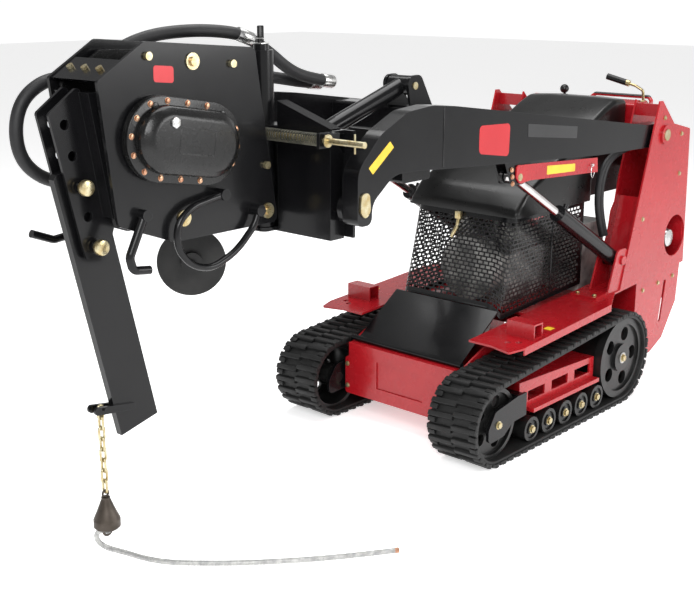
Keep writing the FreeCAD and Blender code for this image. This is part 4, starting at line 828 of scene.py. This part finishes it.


# %% [markdown]
# The pressure hoses leave the shaker's motor, loop round the plow and run back between the arms.
# Each is a smooth tube on its route, made as two tubes that meet in a coupling over the king pin.

# %% Hoses
HOSE_RADIUS, KING_PIN_Y = 0.0205, -1415
FIRST_HOSE = [(-205, -1921, 1394.5), (-205, -1921, 1449), (-200, -1896, 1509), (-185, -1830, 1560),
              (-160, -1740, 1592), (-125, -1640, 1604), (-100, -1530, 1603), (-75, -1420, 1588),
              (-65, -1320, 1530), (-60, -1230, 1465), (-60, -1130, 1430), (-60, -1010, 1412)]
SECOND_HOSE = [(-205, -1977, 1394.5), (-205, -1977, 1439), (-213, -2040, 1478), (-217, -2110, 1464),
               (-220, -2175, 1416), (-220, -2203, 1334), (-220, -2190, 1245), (-217, -2130, 1185),
               (-213, -2050, 1160), (-205, -1960, 1160), (-190, -1860, 1175), (-175, -1750, 1205),
               (-160, -1640, 1250), (-150, -1550, 1310), (-140, -1470, 1380), (-130, -1390, 1430),
               (-120, -1300, 1445), (-115, -1200, 1430), (-115, -1100, 1412), (-115, -1010, 1405)]


def hose(name, points):
    """A tube on part of a hose's line."""
    tube = wires(name, [points], HOSE_RADIUS, 6)
    tube.data.materials.append(hose_rubber)
    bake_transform(tube)
    return tube


def hose_pair(name, route):
    """One hose as two tubes that meet over the king pin, with its end fittings."""
    line = spline_of(name, route)
    points = even(line_points(line), 0.012)
    bpy.data.objects.remove(line)
    later = range(len(points) // 3 + 1, len(points))
    middle = min(later, key=lambda k: abs(points[k].y - at(0, KING_PIN_Y, 0).y))
    near = hose(name + "_front", points[:middle + 1])
    hose(name + "_rear", points[middle:])
    ahead = (points[middle + 1] - points[middle - 1]).normalized()
    collar = round_bar(name + "_coupling", points[middle] - ahead * 0.03, points[middle] + ahead * 0.03,
                       0.023)
    done(collar, "tool_plate", bright_zinc)
    tail = (points[-1] - points[-3]).normalized()
    end = round_bar(name + "_fitting", points[-1] - tail * 0.055, points[-1], 0.0235)
    done(end, "arms", bright_zinc)
    nut = round_bar(name + "_nut", points[0] + Z_AXIS * 0.001, points[0] + Z_AXIS * 0.045, 0.0235,
                    0.002, 6)
    done(nut, "shaker", bright_zinc)
    return near


first = hose_pair("supply_hose", FIRST_HOSE)
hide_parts("plow_hoses")
hose_pair("return_hose", SECOND_HOSE)


# %% [markdown]
# The centring spring is a wound coil of round wire on its rod. A helix is laid out along the
# rod, with closed turns at both ends, and given the wire's thickness.

# %% Coil spring
SPRING_LOW, SPRING_HIGH, SPRING_TURNS = 60.3, 322.7, 24


def coil_points(low, high, turns, radius, wire):
    """Points of a coil along X whose end turns lie close together."""
    made, steps = [], turns * 20
    for index in range(steps + 1):
        share = index / steps
        eased = share - 0.035 * math.sin(2 * math.pi * share)
        turn = 2 * math.pi * turns * share
        x = low + wire + (high - low - 2 * wire) * eased
        made.append(at(x, -1470 + radius * math.cos(turn), 1281 + radius * math.sin(turn)))
    return made


coil = wires("centring_coil", [coil_points(SPRING_LOW, SPRING_HIGH, SPRING_TURNS, 18.2, 2.6)], 0.0026, 2)
done(coil, "tool_plate", spring_steel)
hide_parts("centering_spring")


# %% [markdown]
# The shaker's cover is a domed casting on a flange. The flange and the dome start as cylinders
# whose halves are drawn apart; the dome's face is inset and raised, so a sloping band runs all
# round it, and the cast edges are rounded. A frame and a hexagon plug stand on it. The level
# plug and the drain fitting lie below the dome's face.

# %% Gear cover
BOX_Y, BOX_Z, BOX_TILT = -1865, 1300, math.radians(-9.6)
BOLT_CIRCLE, BOLT_CENTRE, FLANGE_FACE, DOME_FACE = 111, 90, 152, 199.5


def on_box(x, along, up):
    """A point on the shaker's face, counted from its middle along its own tilted axes."""
    y = BOX_Y + along * math.cos(BOX_TILT) - up * math.sin(BOX_TILT)
    return at(x, y, BOX_Z + along * math.sin(BOX_TILT) + up * math.cos(BOX_TILT))


def stadium(name, low, high, span, radius):
    """A cylinder along X whose two halves are drawn apart, laid on the shaker's axes."""
    alone()
    bpy.ops.mesh.primitive_cylinder_add(vertices=66, radius=radius / 1000, depth=(high - low) / 1000,
                                        rotation=(0, math.pi / 2, 0))
    piece = settle(name)
    for vertex in piece.data.vertices:
        vertex.co.y += math.copysign(span / 1000, vertex.co.y)
    turn = Matrix.Rotation(BOX_TILT, 4, "X")
    piece.data.transform(Matrix.Translation(at((low + high) / 2, BOX_Y, BOX_Z)) @ turn)
    return piece


flange = stadium("flange", 140.3, FLANGE_FACE, 90, 125)
modify(flange, "BEVEL", width=0.003, segments=3, limit_method="ANGLE", angle_limit=math.radians(50))
dome = stadium("dome", 150, 180, 85, 100)
for face in dome.data.polygons:
    face.select = face.normal.x > 0.9
alone(dome)
bpy.ops.object.mode_set(mode="EDIT")
bpy.ops.mesh.inset(thickness=0.027, depth=0.0195)
bpy.ops.object.mode_set(mode="OBJECT")
modify(dome, "BEVEL", width=0.009, segments=4, limit_method="ANGLE", angle_limit=math.radians(25))
field = [on_box(DOME_FACE, a, b) for a, b in ((-62, -34), (70, -34), (70, 40), (-62, 40))]
rims = [round_bar("rim", field[k], field[(k + 1) % 4], 0.0018) for k in range(4)]
ribs = [round_bar("rib", on_box(150, a, b), on_box(158, a, b), 0.011) for a, b in ((-128, 92), (128, 92))]
bosses = [round_bar("boss", on_box(170, a, b), on_box(x, a, b), r, 0.003)
          for a, b, x, r in ((-88, 52, 196, 0.027), (124, -58, 186, 0.023), (8, -88, 172, 0.014))]
cover = join("shaker_cover", [smooth(flange), smooth(dome, 40)] + rims + ribs + bosses)
done(cover, "shaker", black_cast)
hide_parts("gearbox_cover")

flange_bolts = []
for along in (-85, -10, 65):
    flange_bolts += [(along, BOLT_CIRCLE), (along, -BOLT_CIRCLE)]
for turn, ends in ((28, (-1, 1)), (0, (-1, 1)), (-28, (-1, 1)), (60, (-1,)), (-60, (-1,))):
    reach = BOLT_CENTRE + BOLT_CIRCLE * math.cos(math.radians(turn))
    flange_bolts += [(end * reach, BOLT_CIRCLE * math.sin(math.radians(turn))) for end in ends]
bolts("cover_bolts", "shaker", [(on_box(FLANGE_FACE, a, b), X_AXIS) for a, b in flange_bolts], 0.0075,
      copper_zinc, replaced=("shaker_fasteners",))
blade_pins = []
for y, z in ((-2162.2, 1190.4), (-2122.6, 1011.8)):
    for side in (LEFT, RIGHT):
        blade_pins += [round_bar("pin_head", at(52 * side, y, z), at(74 * side, y, z), 0.024, 0.006),
                       round_bar("pin_collar", at(44.5 * side, y, z), at(56 * side, y, z), 0.018, 0.002)]
done(join("blade_pin_heads", blade_pins), "shaker", yellow_zinc)
bolts("hex_plug", "shaker", [(on_box(195, -88, 52), X_AXIS)], 0.017, bright_zinc, height=0.5)
plug = round_bar("level_plug", on_box(184, 124, -58), on_box(190, 124, -58), 0.012, 0.002, 10)
orange = finish("orange_plug", (0.55, 0.16, 0.02), (0.66, 0.22, 0.03), (0.35, 0.45), 0, 20, 500, 0.05)
done(plug, "shaker", orange)
bolts("drain_fitting", "shaker", [(on_box(170, 8, -88), X_AXIS)], 0.009, bright_zinc, height=1.1)


# %% [markdown]
# Small hardware: the weld seam down each arm where its front part is joined on, the ring pin of
# the cylinder lock, the lock bar on the king pin, a filter behind the tower's access hole, and
# the two hoses that run down between the engine guard and the tower.

# %% Small hardware
for name, side in (("left", LEFT), ("right", RIGHT)):
    seam = round_bar("arm_seam_" + name, at(409 * side, -968, 1149), at(409 * side, -968, 1350), 0.0035)
    done(seam, "arms", black_paint)
alone()
bpy.ops.mesh.primitive_torus_add(major_radius=0.027, minor_radius=0.0018, location=at(419, 8, 1024),
                                 rotation=(0, math.pi / 2, 0.3))
ring = settle("lock_ring")
done(join("lock_ring_pin", [ring, round_bar("pin", at(408, 4, 1048), at(424, 4, 1048), 0.006)]), "arms",
     bright_zinc)
lock_bar = block("king_lock_bar", at(-5, -1428, 1556), at(5, -1404, 1618), 0.003)
done(lock_bar, "tool_plate", black_paint)
lock_clip = join("king_lock_clip", [block("clip", at(-34, -1434, 1560), at(22, -1398, 1564), 0.001),
                                    round_bar("clip_wire", at(-30, -1428, 1578), at(26, -1428, 1578), 0.002)])
done(lock_clip, "tool_plate", bright_zinc)
oil_filter = round_bar("oil_filter", at(330, 742, 628), at(412, 742, 628), 0.042, 0.012)
done(oil_filter, "chassis", bright_zinc)
for index, shift in enumerate((0, 26)):
    route = [(318, 470 - shift, 1058), (318, 360 - shift, 1046), (318, 280 - shift, 990),
             (318, 255 - shift, 880), (318, 280 - shift, 770), (318, 322 - shift, 690)]
    run = spline_of("run", route)
    points = even(line_points(run), 0.012)
    bpy.data.objects.remove(run)
    hose_run = wires("tower_hose_%d" % (index + 1), [points], 0.013, 5)
    done(hose_run, "chassis", hose_rubber)


# %% [markdown]
# Labels. The machine carries blank decals: red ones with round corners, a long black one on the
# arm and small yellow ones. Each is a thin plate with rounded corners on its surface. They are
# left without any lettering.

# %% Labels
def label(name, corners, out, radius, body, material):
    """A thin rounded plate whose four corners lie on a surface; out is the way off it."""
    alone()
    bpy.ops.mesh.primitive_plane_add(size=1)
    piece = bpy.context.object
    order = {(-1, -1): 0, (1, -1): 1, (1, 1): 2, (-1, 1): 3}
    for vertex in piece.data.vertices:
        key = (int(math.copysign(1, vertex.co.x)), int(math.copysign(1, vertex.co.y)))
        vertex.co = corners[order[key]] + out * 0.0004
    modify(piece, "BEVEL", width=radius, segments=6, affect="VERTICES")
    if piece.data.polygons[0].normal.dot(out) < 0:
        bpy.ops.object.mode_set(mode="EDIT")
        bpy.ops.mesh.select_all(action="SELECT")
        bpy.ops.mesh.flip_normals()
        bpy.ops.object.mode_set(mode="OBJECT")
    modify(piece, "SOLIDIFY", thickness=0.0004, offset=1)
    piece.name = name
    return done(piece, body, material)


for name, side in (("left", LEFT), ("right", RIGHT)):
    x, out = 410 * side, X_AXIS * side
    label("arm_badge_" + name, [at(x, -764, 1172), at(x, -580, 1145), at(x, -576, 1264), at(x, -764, 1271)],
          out, 0.018, "arms", label_red)
    label("arm_strip_" + name, [at(x, -458, 1203), at(x, -114, 1166), at(x, -112, 1212), at(x, -460, 1252)],
          out, 0.004, "arms", label_black)
    label("arm_tag_" + name, [at(x, -1330, 1167), at(x, -1228, 1243), at(x, -1247, 1264), at(x, -1350, 1189)],
          out, 0.003, "arms", label_yellow)
    label("deck_tag_" + name, [at(436 * side, -333, deck_top(-333)), at(470 * side, -333, deck_top(-333)),
                               at(470 * side, -300, deck_top(-300)), at(436 * side, -300, deck_top(-300))],
          Z_AXIS, 0.003, "chassis", label_yellow)
label("lock_tag", [at(415, -326, 1048), at(415, -123, 1038), at(415, -124, 1068), at(415, -325, 1082)],
      X_AXIS, 0.003, "arms", label_yellow)
for name, side in (("near", LEFT), ("far", RIGHT)):
    x = 122 * side
    badge = [at(x, -1954, 1476), at(x, -1881, 1469), at(x, -1880, 1517), at(x, -1953, 1523)]
    label("plow_badge_" + name, badge, X_AXIS * side, 0.009, "plow", label_red)
print("labels made")


# %% [markdown]
# The room: a pale floor with a faint glow of its own, a surround that is white at the horizon
# and grey overhead, and three large square lights: a key light at the machine's front left, one
# overhead and one at its left rear.

# %% Stage and lights
alone()
bpy.ops.mesh.primitive_plane_add(size=60, location=(0, 0, -0.0005))
floor = bpy.context.object
floor.name = "floor"
pale = bpy.data.materials.new("pale_floor")
pale.use_nodes = True
pale_shader = pale.node_tree.nodes["Principled BSDF"]
pale_shader.inputs["Base Color"].default_value = (0.97, 0.97, 0.97, 1)
pale_shader.inputs["Roughness"].default_value = 0.9
pale_shader.inputs["Emission Color"].default_value = (1, 1, 1, 1)
pale_shader.inputs["Emission Strength"].default_value = 0.5
floor.data.materials.append(pale)

world = bpy.data.worlds.new("surround")
bpy.context.scene.world = world
world.use_nodes = True
surround = world.node_tree
height_of = surround.nodes.new("ShaderNodeSeparateXYZ")
surround.links.new(surround.nodes.new("ShaderNodeTexCoord").outputs["Generated"], height_of.inputs["Vector"])
sky = surround.nodes.new("ShaderNodeValToRGB")
sky.color_ramp.elements[0].position, sky.color_ramp.elements[0].color = 0.1, (1, 1, 1, 1)
sky.color_ramp.elements[1].position, sky.color_ramp.elements[1].color = 0.4, (0.3, 0.3, 0.3, 1)
surround.links.new(height_of.outputs["Z"], sky.inputs["Fac"])
surround.links.new(sky.outputs["Color"], surround.nodes["Background"].inputs["Color"])
surround.nodes["Background"].inputs["Strength"].default_value = 1.05


def soft_light(name, place, aim, size, power):
    """A large square light that faces a point."""
    data = bpy.data.lights.new(name, "AREA")
    data.shape, data.size, data.energy = "SQUARE", size, power
    lamp = bpy.data.objects.new(name, data)
    bpy.context.scene.collection.objects.link(lamp)
    lamp.location = place
    lamp.rotation_euler = (aim - place).to_track_quat("-Z", "Y").to_euler()


middle = Vector((0, 0, 0.8))
soft_light("key", Vector((3.2, -4.2, 4.2)), middle, 3.0, 260)
soft_light("top", Vector((-0.5, 0.5, 5.0)), middle, 4.0, 230)
soft_light("side", Vector((5.0, 2.2, 2.4)), middle, 2.5, 130)
bpy.context.scene.view_settings.view_transform = "Standard"
